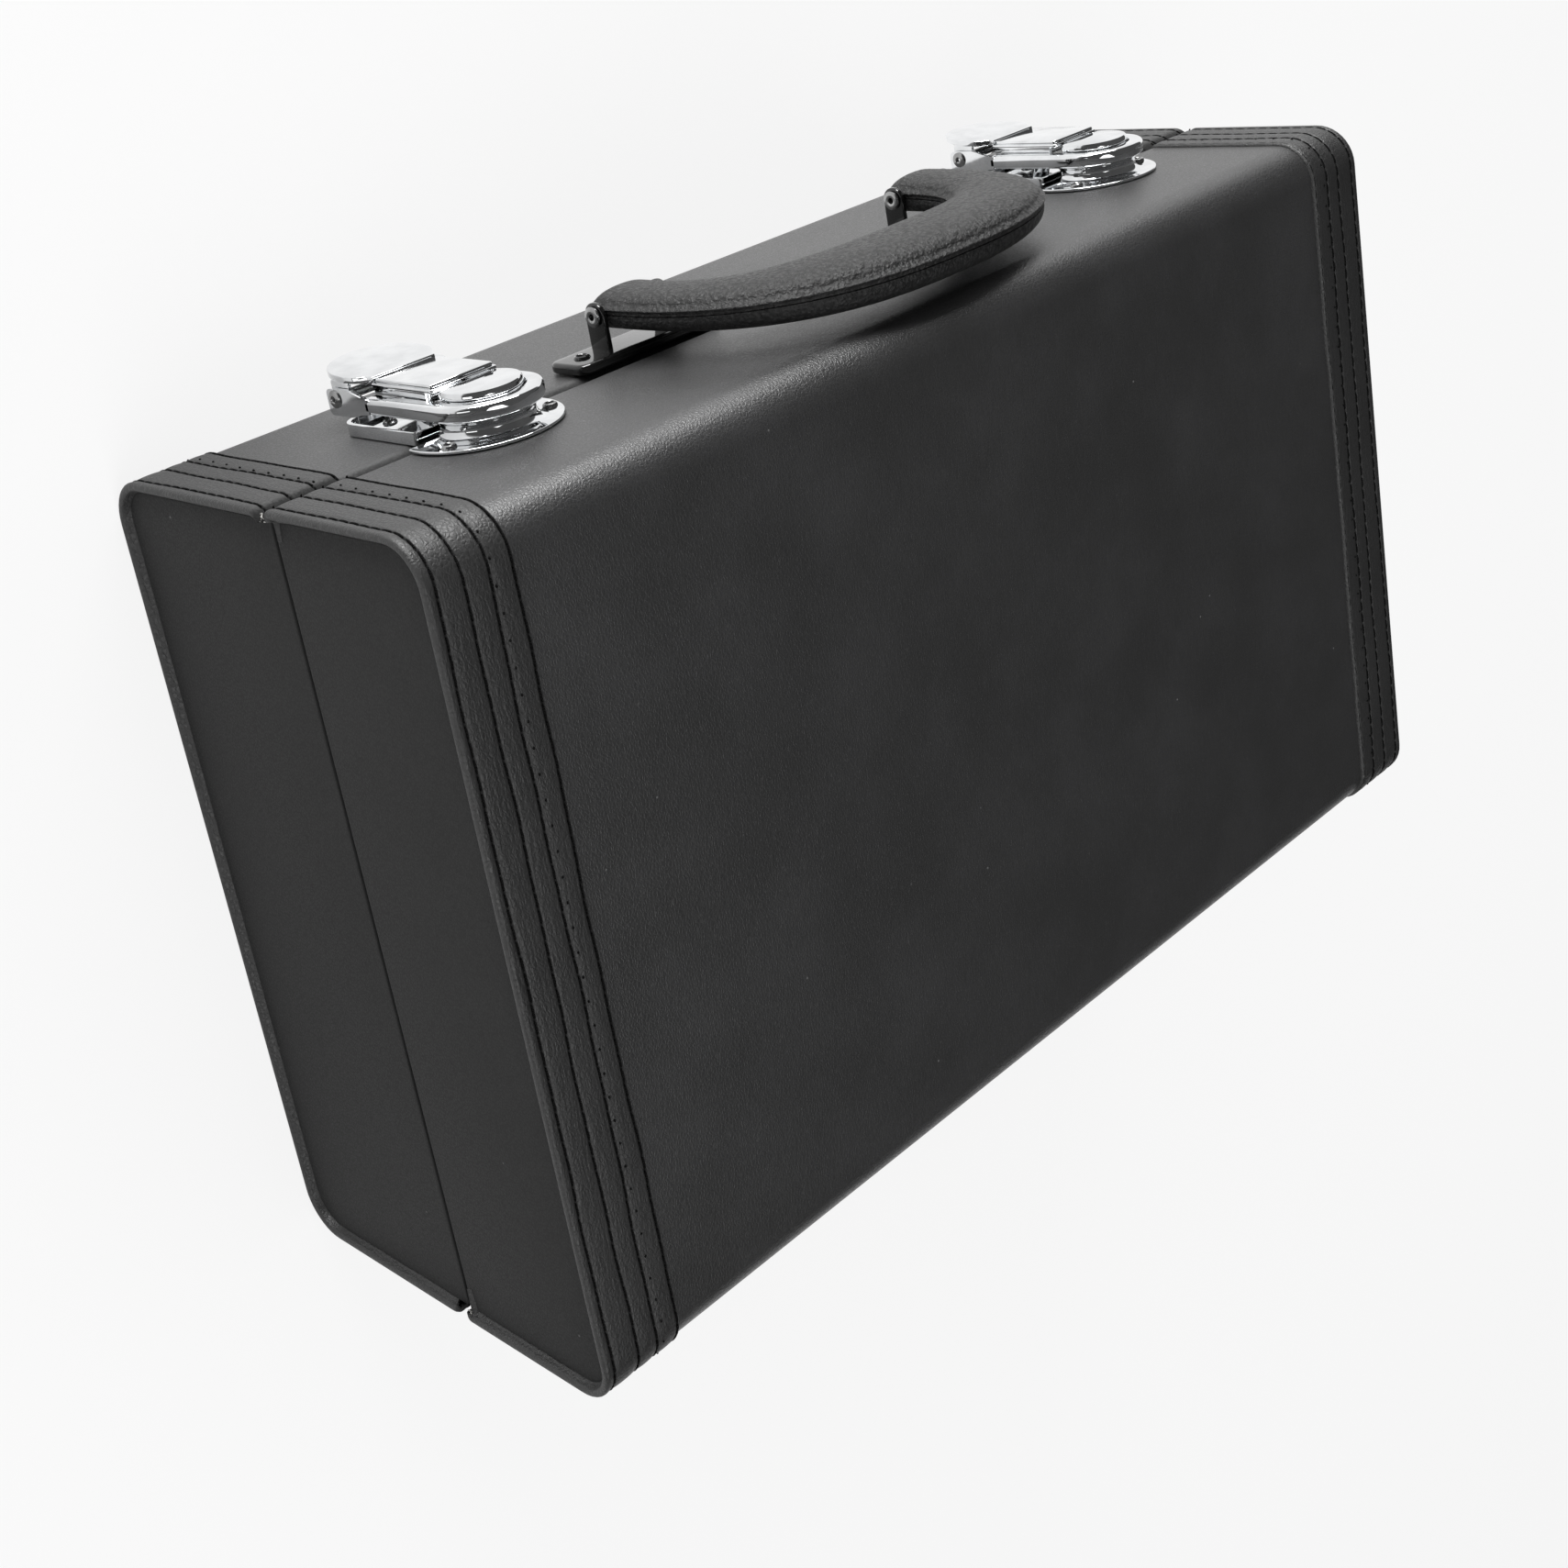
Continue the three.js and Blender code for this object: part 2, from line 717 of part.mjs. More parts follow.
// Outline of the pan in (u, v): square at the seam, round at the lower corners.
function panShape(inset) {
  const half = panHalfWidth - inset;
  const low = -panBottom + inset;
  const radius = panCorner - inset;
  const shape = new THREE.Shape();
  shape.absarc(-half + radius, low + radius, radius, Math.PI, 1.5 * Math.PI, false);
  shape.absarc(half - radius, low + radius, radius, -Math.PI / 2, 0, false);
  shape.lineTo(half, -panTop - inset);
  shape.lineTo(-half, -panTop - inset);
  return shape;
}

// Ear of the pan: its front edge leans back, so that the open lever's pad clears it.
function panEar(u0) {
  const foot = seat + plateGauge / 2;
  const lean = THREE.MathUtils.degToRad(leverOpening - 90);
  const edgeLength = (leverPinHeight - panEarRadius * Math.sin(lean) - foot) / Math.cos(lean);
  const edgeFoot = panEarRadius * Math.cos(lean) - edgeLength * Math.sin(lean);
  const shape = new THREE.Shape();
  shape.absarc(-leverPinDrop, leverPinHeight, panEarRadius, -lean, Math.PI, false);
  shape.lineTo(-leverPinDrop - panEarRadius - panEarFlare, foot);
  shape.lineTo(-leverPinDrop + edgeFoot, foot);
  return solid(extrude(shape, panEarThickness, 4), alongX, shift(u0, 0, 0));
}

// An upright ear in (v, h) with a round top about its pin, pushed along u.
function ear(u0, thickness, drop, height, radius, foot) {
  const shape = new THREE.Shape();
  shape.absarc(-drop, height, radius, 0, Math.PI, false);
  shape.lineTo(-drop - radius, foot);
  shape.lineTo(-drop + radius, foot);
  return solid(extrude(shape, thickness, 4), alongX, shift(u0, 0, 0));
}

function leverPin() {
  const half = ledgeHalfWidth;
  return bar(leverPinRadius, -half, half, -leverPinDrop, leverPinHeight);
}

// Rocking lever: bevelled pad, ledge, side flanges with both pin holes, and round tongue.
function lever() {
  const ledgeTop = padHeight - leverGauge;
  const back = padFront - padLength;
  const padShape = roundedRectangle(-padHalfWidth, padHalfWidth, back, padFront, padBevel * 2);
  const pad = solid(
    softExtrude(padShape, 2 * leverGauge, padBevel, 1),
    shift(0, 0, ledgeTop - leverGauge),
  );
  const ledgeShape = roundedRectangle(
    -ledgeHalfWidth,
    ledgeHalfWidth,
    back - leverGauge,
    padFront + padBevel,
    padBevel,
  );
  const ledge = solid(extrude(ledgeShape, leverGauge, 1), shift(0, 0, ledgeTop - leverGauge));
  const tongueTilt = Math.atan(tongueLift / (tongueCentreDrop + tongueHalfWidth + back));
  const neck = back - leverGauge / 2;
  const tongue = new THREE.Shape();
  tongue.moveTo(padHalfWidth, leverGauge);
  tongue.lineTo(-padHalfWidth, leverGauge);
  tongue.lineTo(-padHalfWidth, 0);
  tongue.quadraticCurveTo(
    -padHalfWidth,
    -tongueNeckLength / 2,
    -tongueHalfWidth,
    -tongueNeckLength,
  );
  const centre = -tongueCentreDrop - neck;
  tongue.absarc(0, centre, tongueHalfWidth, Math.PI, 2 * Math.PI, false);
  tongue.lineTo(tongueHalfWidth, -tongueNeckLength);
  tongue.quadraticCurveTo(padHalfWidth, -tongueNeckLength / 2, padHalfWidth, 0);
  const tongueBody = solid(
    softExtrude(tongue, leverGauge, leverGauge / 4, 6),
    new THREE.Matrix4().makeRotationX(-tongueTilt),
    shift(0, neck, ledgeTop - leverGauge),
  );
  const inside = ledgeHalfWidth - leverGauge;
  const hollow = block(
    -inside,
    inside,
    back + leverGauge,
    padFront + overrun,
    -overrun,
    ledgeTop,
  );
  const flangeTop = ledgeTop - leverGauge / 2;
  const flange = leverGauge;
  const parts = [pad, ledge, tongueBody];
  for (const side of [-1, 1]) {
    const front = side < 0 ? -ledgeHalfWidth : ledgeHalfWidth - flange;
    const rear = side < 0 ? -tongueHalfWidth : tongueHalfWidth - flange;
    parts.push(frontFlange(front, flange, flangeTop, back));
    parts.push(rearFlange(rear, flange, flangeTop));
  }
  return cut(
    join(...parts),
    hollow,
    bar(leverPinRadius + pinClearance, -ringOuterRadius, ringOuterRadius, -leverPinDrop, leverPinHeight),
    bar(linkPinRadius + pinClearance, -ringOuterRadius, ringOuterRadius, -linkPinDrop, linkPinHeight),
  );
}

// Side wall under the pad, deep at the lever's pin and shallow towards the tongue.
function frontFlange(u0, thickness, top, back) {
  const shape = new THREE.Shape();
  shape.absarc(-leverPinDrop, leverPinHeight, leverEyeRadius, 0, -0.75 * Math.PI, true);
  shape.lineTo(back, leverPinHeight);
  shape.lineTo(back, top);
  shape.lineTo(padFront, top);
  return solid(extrude(shape, thickness, 4), alongX, shift(u0, 0, 0));
}

// Side wall under the tongue, round about the link's pin.
function rearFlange(u0, thickness, top) {
  const shape = new THREE.Shape();
  shape.absarc(-linkPinDrop, linkPinHeight, tongueEyeRadius, -Math.PI / 4, -Math.PI, true);
  shape.lineTo(-linkPinDrop - tongueEyeRadius, top + leverGauge / 2);
  shape.lineTo(-linkPinDrop + 1.5 * tongueEyeRadius, top + leverGauge / 2);
  return solid(extrude(shape, thickness, 4), alongX, shift(u0, 0, 0));
}

// Horseshoe outline of the link in (u, v), between two radii, with its arms down to an end.
function horseshoe(outer, inner, end) {
  const shape = new THREE.Shape();
  shape.absarc(0, drumRise, outer, 0, Math.PI, false);
  shape.lineTo(-outer, end);
  shape.lineTo(-inner, end);
  shape.absarc(0, drumRise, inner, Math.PI, 0, true);
  shape.lineTo(inner, end);
  shape.lineTo(outer, end);
  return shape;
}

// Link: a horseshoe of flat plate with a turned-down edge, and an ear on each arm.
function link() {
  const top = ringHeight;
  const face = solid(
    extrude(horseshoe(ringOuterRadius, ringInnerRadius, -armEnd), ringGauge, 10),
    shift(0, 0, top - ringGauge),
  );
  const edgeInner = ringOuterRadius - ringEdge;
  const edge = solid(
    extrude(horseshoe(ringOuterRadius, edgeInner, -armEnd), ringGauge + ringTurnDown, 10),
    shift(0, 0, top - ringGauge - ringTurnDown),
  );
  const parts = [face, edge];
  for (const side of [-1, 1]) {
    const u0 = side < 0 ? -ringOuterRadius : ringOuterRadius - ringEdge;
    parts.push(linkEar(u0));
  }
  return cut(
    join(...parts),
    bar(
      linkPinRadius + pinClearance,
      -2 * ringOuterRadius,
      2 * ringOuterRadius,
      -linkPinDrop,
      linkPinHeight,
    ),
  );
}

// Square ear with round corners at the end of the link's arm.
function linkEar(u0) {
  const start = -linkPinDrop - linkEarReach;
  const lead = -armEnd - linkEarLead;
  const low = linkPinHeight - linkEarDrop;
  const high = linkPinHeight + linkEarRise;
  const armLow = ringHeight - ringGauge - ringTurnDown;
  const shape = new THREE.Shape();
  shape.absarc(start + linkEarCorner, low + linkEarCorner, linkEarCorner, Math.PI, 1.5 * Math.PI, false);
  shape.lineTo(lead, low);
  shape.lineTo(-armEnd - ringEdge, armLow);
  shape.lineTo(-armEnd + ringEdge, armLow);
  shape.lineTo(-armEnd + ringEdge, ringHeight);
  shape.lineTo(-armEnd - ringEdge, ringHeight);
  shape.lineTo(lead, high);
  shape.absarc(start + linkEarCorner, high - linkEarCorner, linkEarCorner, Math.PI / 2, Math.PI, false);
  return solid(extrude(shape, ringEdge, 3), alongX, shift(u0, 0, 0));
}

// Tube rivet through the link's ears and the lever's flanges.
function linkPin() {
  const half = ringOuterRadius + rivetHeadHeight;
  const bore = linkPinRadius / 2;
  const profile = [
    new THREE.Vector2(0, -half + linkPinRadius),
    new THREE.Vector2(bore, -half + linkPinRadius),
    new THREE.Vector2(bore, -half),
    new THREE.Vector2(linkPinRadius, -half),
    new THREE.Vector2(linkPinRadius, half),
    new THREE.Vector2(bore, half),
    new THREE.Vector2(bore, half - linkPinRadius),
    new THREE.Vector2(0, half - linkPinRadius),
  ];
  const lathe = new THREE.LatheGeometry(profile, 12).rotateZ(-Math.PI / 2);
  return solid(lathe, shift(0, -linkPinDrop, linkPinHeight));
}

// Pressed bracket plate with turned-down edges and two upright ears.
function bracket(side) {
  const centre = side * bracketCentre;
  const half = bracketLength / 2;
  const low = -bracketStart - bracketWidth;
  const outer = roundedRectangle(centre - half, centre + half, low, -bracketStart, bracketCorner);
  const inner = roundedRectangle(
    centre - half + bracketGauge,
    centre + half - bracketGauge,
    low + bracketGauge,
    -bracketStart - bracketGauge,
    bracketCorner - bracketGauge,
  );
  const shell = softExtrude(outer, bracketHeight + bracketBevel, bracketBevel, 2);
  const plate = cut(
    solid(shell, shift(0, 0, seat - bracketBevel)).intersect(
      block(centre - half, centre + half, low, 0, seat, seat + bracketHeight),
    ),
    solid(extrude(inner, bracketHeight - bracketGauge + overrun, 2), shift(0, 0, seat - overrun)),
  );
  const parts = [plate];
  for (const k of [-1, 1]) {
    const middle = side * hubCentre + k * (earSpan / 2 - earThickness / 2);
    parts.push(
      ear(
        middle - earThickness / 2,
        earThickness,
        handleAxisDrop,
        handleAxisHeight,
        earHalfWidth,
        bracketHeight - bracketGauge / 2,
      ),
    );
  }
  const holes = [-1, 1].map((k) =>
    rivetHole(centre + (k * bracketRivetSpacing) / 2, low + bracketWidth / 2, 0, bracketHeight),
  );
  const bore = bar(
    handlePinRadius + pinClearance,
    centre - half,
    centre + half,
    -handleAxisDrop,
    handleAxisHeight,
  );
  return cut(join(...parts), bore, ...holes);
}

function bracketRivet(side, k) {
  const u = side * bracketCentre + (k * bracketRivetSpacing) / 2;
  return rivet(u, -bracketStart - bracketWidth / 2, seat + bracketHeight);
}

// Tube rivet on which one end of the handle turns.
function handlePin(side) {
  const centre = side * hubCentre;
  const half = earSpan / 2 + seat;
  const bore = handlePinRadius / 2;
  const end = half + handlePinHeadHeight;
  const sink = half - handlePinRadius;
  const profile = [
    new THREE.Vector2(0, -sink),
    new THREE.Vector2(bore, -sink),
    new THREE.Vector2(bore, -end),
    new THREE.Vector2((handlePinHead + bore) / 2, -end),
    new THREE.Vector2(handlePinHead, -half - handlePinHeadHeight / 2),
    new THREE.Vector2(handlePinHead, -half),
    new THREE.Vector2(handlePinRadius, -half),
    new THREE.Vector2(handlePinRadius, half),
    new THREE.Vector2(handlePinHead, half),
    new THREE.Vector2(handlePinHead, half + handlePinHeadHeight / 2),
    new THREE.Vector2((handlePinHead + bore) / 2, end),
    new THREE.Vector2(bore, end),
    new THREE.Vector2(bore, sink),
    new THREE.Vector2(0, sink),
  ];
  const lathe = new THREE.LatheGeometry(profile, 12).rotateZ(-Math.PI / 2);
  return solid(lathe, shift(centre, -handleAxisDrop, handleAxisHeight));
}

// Middle line of the grip from one hub to the other: a squarish half oval in (u, reach).
function gripPlace(t) {
  const angle = Math.PI * t;
  const power = 2 / gripCurvePower;
  const c = Math.cos(angle);
  const s = Math.max(Math.sin(angle), 0);
  return new THREE.Vector2(
    hubCentre * Math.sign(c) * Math.abs(c) ** power,
    gripReach * s ** power,
  );
}

// Half of the grip's unit section: steep at the parting line, then crowned. The upper half
// has a bead along each side, just over the parting line.
function gripSection(up) {
  const points = [];
  for (let i = 1; i < gripSectionSteps; i++) {
    const angle = (Math.PI * i) / gripSectionSteps;
    const power = 2 / gripSectionPower;
    const c = Math.cos(angle);
    points.push(new THREE.Vector2(Math.sign(c) * Math.abs(c) ** power, up * Math.sin(angle) ** power));
  }
  const bead = [
    [1, 0],
    [1, beadRiseShare - beadHalfShare],
    [1 + beadProudShare, beadRiseShare],
    [1, beadRiseShare + beadHalfShare],
  ];
  const side = up > 0 ? bead : bead.slice(0, 1);
  const right = side.map(([x, y]) => new THREE.Vector2(x, y));
  const left = side.map(([x, y]) => new THREE.Vector2(-x, y)).reverse();
  return new THREE.Shape([...right, ...points, ...left]);
}

// One moulded half of the handle: the section swept along the middle line, wider and
// thicker towards the middle, with half a hub at each end.
function gripShell(up) {
  const geometry = new THREE.ExtrudeGeometry(gripSection(up), {
    depth: 1,
    steps: gripSteps,
    bevelEnabled: false,
  });
  const place = geometry.attributes.position;
  const hubHalf = earSpan / 2 - earThickness - seat;
  for (let i = 0; i < place.count; i++) {
    const t = place.getZ(i);
    const step = 1 / gripSteps / 2;
    const at = gripPlace(t);
    const ahead = gripPlace(Math.min(t + step, 1));
    const behind = gripPlace(Math.max(t - step, 0));
    const along = t === 0 || t === 1 ? new THREE.Vector2(0, 1 - 2 * t) : ahead.sub(behind).normalize();
    const swell = Math.sin(Math.PI * t) ** 2;
    // The bead fades out towards the hubs
    const share = Math.abs(place.getX(i));
    const beside = Math.sign(place.getX(i)) * (Math.min(share, 1) + Math.max(share - 1, 0) * swell);
    const width = hubHalf + (gripHalfWidth - hubHalf) * swell;
    const thickness = hubRadius + (gripHalfThickness - hubRadius) * swell;
    const u = at.x + along.y * beside * width;
    const reach = at.y - along.x * beside * width;
    place.setXYZ(i, u, reach, place.getY(i) * thickness + (up * seat) / 2);
  }
  const parts = [solid(geometry)];
  for (const side of [-1, 1]) {
    const x0 = side * hubCentre - hubHalf;
    const x1 = side * hubCentre + hubHalf;
    const low = up > 0 ? seat / 2 : -hubRadius - overrun;
    const high = up > 0 ? hubRadius + overrun : -seat / 2;
    const hub = bar(hubRadius, x0, x1, 0, 0, 16);
    parts.push(hub.intersect(block(x0 - overrun, x1 + overrun, -2 * hubRadius, hubRadius, low, high)));
  }
  const bore = bar(handlePinRadius + pinClearance, -2 * hubCentre, 2 * hubCentre, 0, 0);
  const reachLimit = hubRadius - seat;
  const lugs = [-1, 1].map((side) => {
    const x0 = side * hubCentre - earSpan / 2 - overrun;
    const x1 = side * hubCentre + earSpan / 2 + overrun;
    return block(x0, x1, -reachLimit, handlePinRadius + reachLimit, -hubRadius, hubRadius);
  });
  const boreAtHubs = join(bore.intersect(lugs[0]), bore.intersect(lugs[1]));
  return cut(join(...parts), boreAtHubs);
}

function latchPieces(name, x) {
  const group = frontGroup(x);
  const plateTop = seat + plateGauge;
  group.add(piece("keeper_" + name, keeper(), chrome));
  group.add(piece("latch_pan_" + name, pan(), chrome));
  group.add(piece("latch_lever_" + name, lever(), chrome));
  group.add(piece("latch_link_" + name, link(), chrome));
  group.add(piece("lever_pin_" + name, leverPin(), steel));
  group.add(piece("link_pin_" + name, linkPin(), steel));
  for (const [end, side] of [["a", -1], ["b", 1]]) {
    const keeperRivet = rivet((side * keeperRivetSpacing) / 2, keeperRivetRise, plateTop);
    const panRivet = rivet((side * panRivetSpacing) / 2, -panRivetDrop, plateTop);
    group.add(piece("keeper_rivet_" + name + "_" + end, keeperRivet, steel));
    group.add(piece("pan_rivet_" + name + "_" + end, panRivet, steel));
  }
  return group;
}

function handlePieces() {
  const group = frontGroup(0);
  for (const [name, side] of [["left", -1], ["right", 1]]) {
    group.add(piece("handle_bracket_" + name, bracket(side), lacquer));
    group.add(piece("handle_pin_" + name, handlePin(side), steel));
    group.add(piece("bracket_rivet_" + name + "_a", bracketRivet(side, -1), lacquer));
    group.add(piece("bracket_rivet_" + name + "_b", bracketRivet(side, 1), lacquer));
  }
  const grip = new THREE.Group();
  grip.position.set(0, -handleAxisDrop, handleAxisHeight);
  grip.rotation.x = -THREE.MathUtils.degToRad(gripLean);
  grip.add(piece("handle_upper_shell", gripShell(1), moulded));
  grip.add(piece("handle_lower_shell", gripShell(-1), moulded));
  group.add(grip);
  return group;
}

const clarinetCase = new THREE.Group();
clarinetCase.add(halfPieces("base", baseHalf));
const lid = new THREE.Group();
lid.rotation.x = Math.PI;
lid.position.z = caseHeight;
lid.add(halfPieces("lid", lidHalf));
clarinetCase.add(lid);
clarinetCase.add(piece("base_insert", insert(), plush));
clarinetCase.add(piece("lid_pad", lidPad(), plush));
for (const [name, side] of [["left", -1], ["right", 1]]) {
  const centre = side * hingeCentre;
  clarinetCase.add(piece("hinge_base_leaf_" + name, hingeLeaf(centre, true), steel));
  clarinetCase.add(piece("hinge_lid_leaf_" + name, lidLeaf(centre), steel));
  clarinetCase.add(piece("hinge_pin_" + name, hingePin(centre), steel));
  clarinetCase.add(latchPieces(name, side * latchCentre));
}
clarinetCase.add(handlePieces());

// The handle reaches further forward than the hinges reach back: the middle of both is y = 0.
const extent = new THREE.Box3().setFromObject(clarinetCase, true);
clarinetCase.position.y = -(extent.min.y + extent.max.y) / 2;
const root = new THREE.Group();
root.add(clarinetCase);

export default root;
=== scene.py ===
import math

import bmesh
import bpy
import numpy
from mathutils import Matrix, Vector


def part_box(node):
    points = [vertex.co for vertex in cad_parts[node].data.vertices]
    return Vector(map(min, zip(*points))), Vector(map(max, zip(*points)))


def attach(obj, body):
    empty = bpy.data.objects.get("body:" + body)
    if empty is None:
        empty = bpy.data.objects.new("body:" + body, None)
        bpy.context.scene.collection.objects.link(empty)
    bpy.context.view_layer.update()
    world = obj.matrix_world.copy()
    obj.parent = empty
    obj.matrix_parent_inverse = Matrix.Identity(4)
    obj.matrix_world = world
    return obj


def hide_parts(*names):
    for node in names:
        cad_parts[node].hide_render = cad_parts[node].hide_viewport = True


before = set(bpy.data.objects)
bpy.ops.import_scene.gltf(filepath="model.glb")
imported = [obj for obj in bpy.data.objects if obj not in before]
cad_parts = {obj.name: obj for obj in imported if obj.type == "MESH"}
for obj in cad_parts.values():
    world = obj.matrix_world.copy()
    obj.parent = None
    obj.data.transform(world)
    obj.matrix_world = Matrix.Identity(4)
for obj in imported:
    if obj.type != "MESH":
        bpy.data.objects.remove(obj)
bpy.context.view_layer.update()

# Camera. It stands over the lid's far end and looks down along the case, turned on its side,
# so that the handle is at the top of the picture as when the case is held up.
camera = bpy.data.objects.new("camera", bpy.data.cameras.new("camera"))
camera.data.lens = 49.69
camera.data.sensor_width = 36
camera.data.shift_x = 0.0877
camera.data.shift_y = -0.1563
case_middle = (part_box("base_cover")[0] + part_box("base_cover")[1]) / 2
eye = Vector((0.408716, case_middle.y - 0.241968, 0.476287))
picture_right = Vector((-0.71946, 0.18122, 0.67047))
picture_up = Vector((-0.34799, -0.92950, -0.12219))
backwards = picture_right.cross(picture_up)
camera.matrix_world = Matrix.Translation(eye) @ Matrix(
    (picture_right, picture_up, backwards)
).transposed().to_4x4()
bpy.context.scene.collection.objects.link(camera)
bpy.context.scene.camera = camera
bpy.context.scene.view_settings.view_transform = "Standard"


# Studio. A pale floor, a surround that mirrors as a dark room above the floor, and three soft
# lamps: a wide one over the handle side, which gives the leatherette its sheen, and two weaker
# ones. The floor mirrors as white, but for the part beyond the front end, which is dark.
class Wire:
    """An output socket of a material. Sums and products on it add Math nodes."""

    def __init__(self, socket):
        self.socket = socket

    def node(self, kind, settings, values, output=0):
        tree = self.socket.id_data
        made = tree.nodes.new("ShaderNode" + kind)
        for name, value in settings.items():
            setattr(made, name, value)
        for name, value in values.items():
            if isinstance(value, Wire):
                tree.links.new(value.socket, made.inputs[name])
            else:
                made.inputs[name].default_value = value
        return Wire(made.outputs[output])

    def math(self, operation, first, second):
        return self.node("Math", {"operation": operation}, {0: first, 1: second})

    def feed(self, shader, name):
        self.socket.id_data.links.new(self.socket, shader.inputs[name])

    def __add__(self, other):
        return self.math("ADD", self, other)

    def __sub__(self, other):
        return self.math("SUBTRACT", self, other)

    def __rsub__(self, other):
        return self.math("SUBTRACT", other, self)

    def __mul__(self, other):
        return self.math("MULTIPLY", self, other)

    __radd__ = __add__
    __rmul__ = __mul__

    def most(self, other):
        return self.math("MAXIMUM", self, other)

    def ramp(self, low, high, start=0.0, end=1.0):
        """A smooth step of this value, from start at low to end at high."""
        values = {"Value": self, "From Min": low, "From Max": high, "To Min": start, "To Max": end}
        return self.node("MapRange", {"interpolation_type": "SMOOTHSTEP"}, values)


def mixed(share, first, second):
    """From the first colour to the second by a share. Either may be a link."""
    ends = [c if isinstance(c, Wire) else (*c, 1) for c in (first, second)]
    return share.node("Mix", {"data_type": "RGBA"}, {0: share, 6: ends[0], 7: ends[1]}, 2)


def rays(tree):
    """1 for a ray from the camera or through glass, and 1 for one off a glossy surface."""
    path = tree.nodes.new("ShaderNodeLightPath")
    straight = Wire(path.outputs["Is Camera Ray"]).most(Wire(path.outputs["Is Transmission Ray"]))
    return straight, Wire(path.outputs["Is Glossy Ray"])


ambient = (0.42, 0.42, 0.42)
white = (1, 1, 1)
room = (0.07, 0.07, 0.07)
white_side = Vector((0, -0.35, -0.94))
floor_half = 4
floor_glow = 0.8
dark_start = 0.1
dark_full = 0.155
dark_level = 0.12
lamp_aim = Vector((0, 0, 0.06))
world = bpy.data.worlds.new("studio")
bpy.context.scene.world = world
world.use_nodes = True
straight, bounced = rays(world.node_tree)
way = Wire(world.node_tree.nodes.new("ShaderNodeTexCoord").outputs["Generated"])
facing = way.node("VectorMath", {"operation": "DOT_PRODUCT"}, {0: way, 1: white_side}, 1)
surround = mixed(straight.most(facing.ramp(0.0, 0.55)), room, white)
mixed(straight.most(bounced), ambient, surround).feed(world.node_tree.nodes["Background"], "Color")


def lamp(name, place, size, power):
    data = bpy.data.lights.new(name, "AREA")
    data.shape = "RECTANGLE"
    data.size, data.size_y = size
    data.energy = power
    made = bpy.data.objects.new(name, data)
    made.location = place
    made.rotation_euler = (lamp_aim - made.location).to_track_quat("-Z", "Y").to_euler()
    bpy.context.scene.collection.objects.link(made)


lamp("handle_side_lamp", (0.0, -1.4, 0.25), (1.4, 0.45), 30)
lamp("lid_side_lamp", (0.5, 0.6, 1.4), (1.2, 1.2), 8.5)
lamp("end_side_lamp", (1.4, 0.2, 0.4), (0.8, 0.6), 2.5)

floor_mesh = bmesh.new()
bmesh.ops.create_grid(floor_mesh, x_segments=1, y_segments=1, size=floor_half)
floor_data = bpy.data.meshes.new("floor")
floor_mesh.to_mesh(floor_data)
floor_mesh.free()
floor = bpy.data.objects.new("floor", floor_data)
bpy.context.scene.collection.objects.link(floor)
pale = bpy.data.materials.new("pale_floor")
pale.use_nodes = True
paper = pale.node_tree.nodes["Principled BSDF"]
paper.inputs["Base Color"].default_value = (0.86, 0.86, 0.86, 1)
paper.inputs["Roughness"].default_value = 0.9
paper.inputs["Specular IOR Level"].default_value = 0.1
glow = pale.node_tree.nodes.new("ShaderNodeEmission")
glow.inputs["Strength"].default_value = 1
straight, bounced = rays(pale.node_tree)
spot = Wire(pale.node_tree.nodes.new("ShaderNodeTexCoord").outputs["Object"])
along = spot.node("SeparateXYZ", {}, {0: spot}, 0)
shown = (straight * floor_glow).most(bounced * along.ramp(dark_start, dark_full, 1.0, dark_level))
blend = {0: shown, 1: Wire(paper.outputs[0]), 2: Wire(glow.outputs[0])}
floor_surface = straight.node("MixShader", {}, blend)
floor_surface.feed(pale.node_tree.nodes["Material Output"], "Surface")
floor_data.materials.append(pale)


# Covers. Each half is a plywood tray wrapped in one sheet of black leatherette, glued on and
# turned over the rim at the seam: a wide fold on the base, a tight one on the lid.
mm = 0.001
case_half_length = 181
case_half_width = 110
base_depth = 69
lid_depth = 57
case_height = base_depth + lid_depth
edge_radius = 12
seam_gap = 0.3
cover_inset = 1
cover_sheet = 0.8
wall_inner = 102.7
cover_end = 177
base_fold = 6
lid_fold = 2
fold_start = 63.5
fold_full = 66.5
to_metres = Matrix.Scale(mm, 4)
base_place = Matrix.Translation((0, case_middle.y, 0)) @ to_metres
lid_place = (
    Matrix.Translation((0, case_middle.y, case_height * mm))
    @ Matrix.Rotation(math.pi, 4, "X")
    @ to_metres
)


def surface(name, roughness, **constants):
    """A new material: its shader, and the object's coordinates in millimetres."""
    material = bpy.data.materials.new(name)
    material.use_nodes = True
    shader = material.node_tree.nodes["Principled BSDF"]
    shader.inputs["Roughness"].default_value = roughness
    for socket, value in constants.items():
        shader.inputs[socket.replace("_", " ")].default_value = value
    place = Wire(material.node_tree.nodes.new("ShaderNodeTexCoord").outputs["Object"])
    place = place.node("VectorMath", {"operation": "SCALE"}, {0: place, "Scale": 1 / mm})
    return material, shader, place


def stretched(place, share):
    """Coordinates on which a pattern is drawn out along the axes with a small share."""
    return place.node("VectorMath", {"operation": "MULTIPLY"}, {0: place, 1: share})


def noise(place, per_mm, detail=2.0):
    return place.node("TexNoise", {}, {"Vector": place, "Scale": per_mm, "Detail": detail})


def bumps(height, shader, depth, strength=1.0):
    values = {"Height": height, "Distance": depth * mm, "Strength": strength}
    height.node("Bump", {}, values).feed(shader, "Normal")


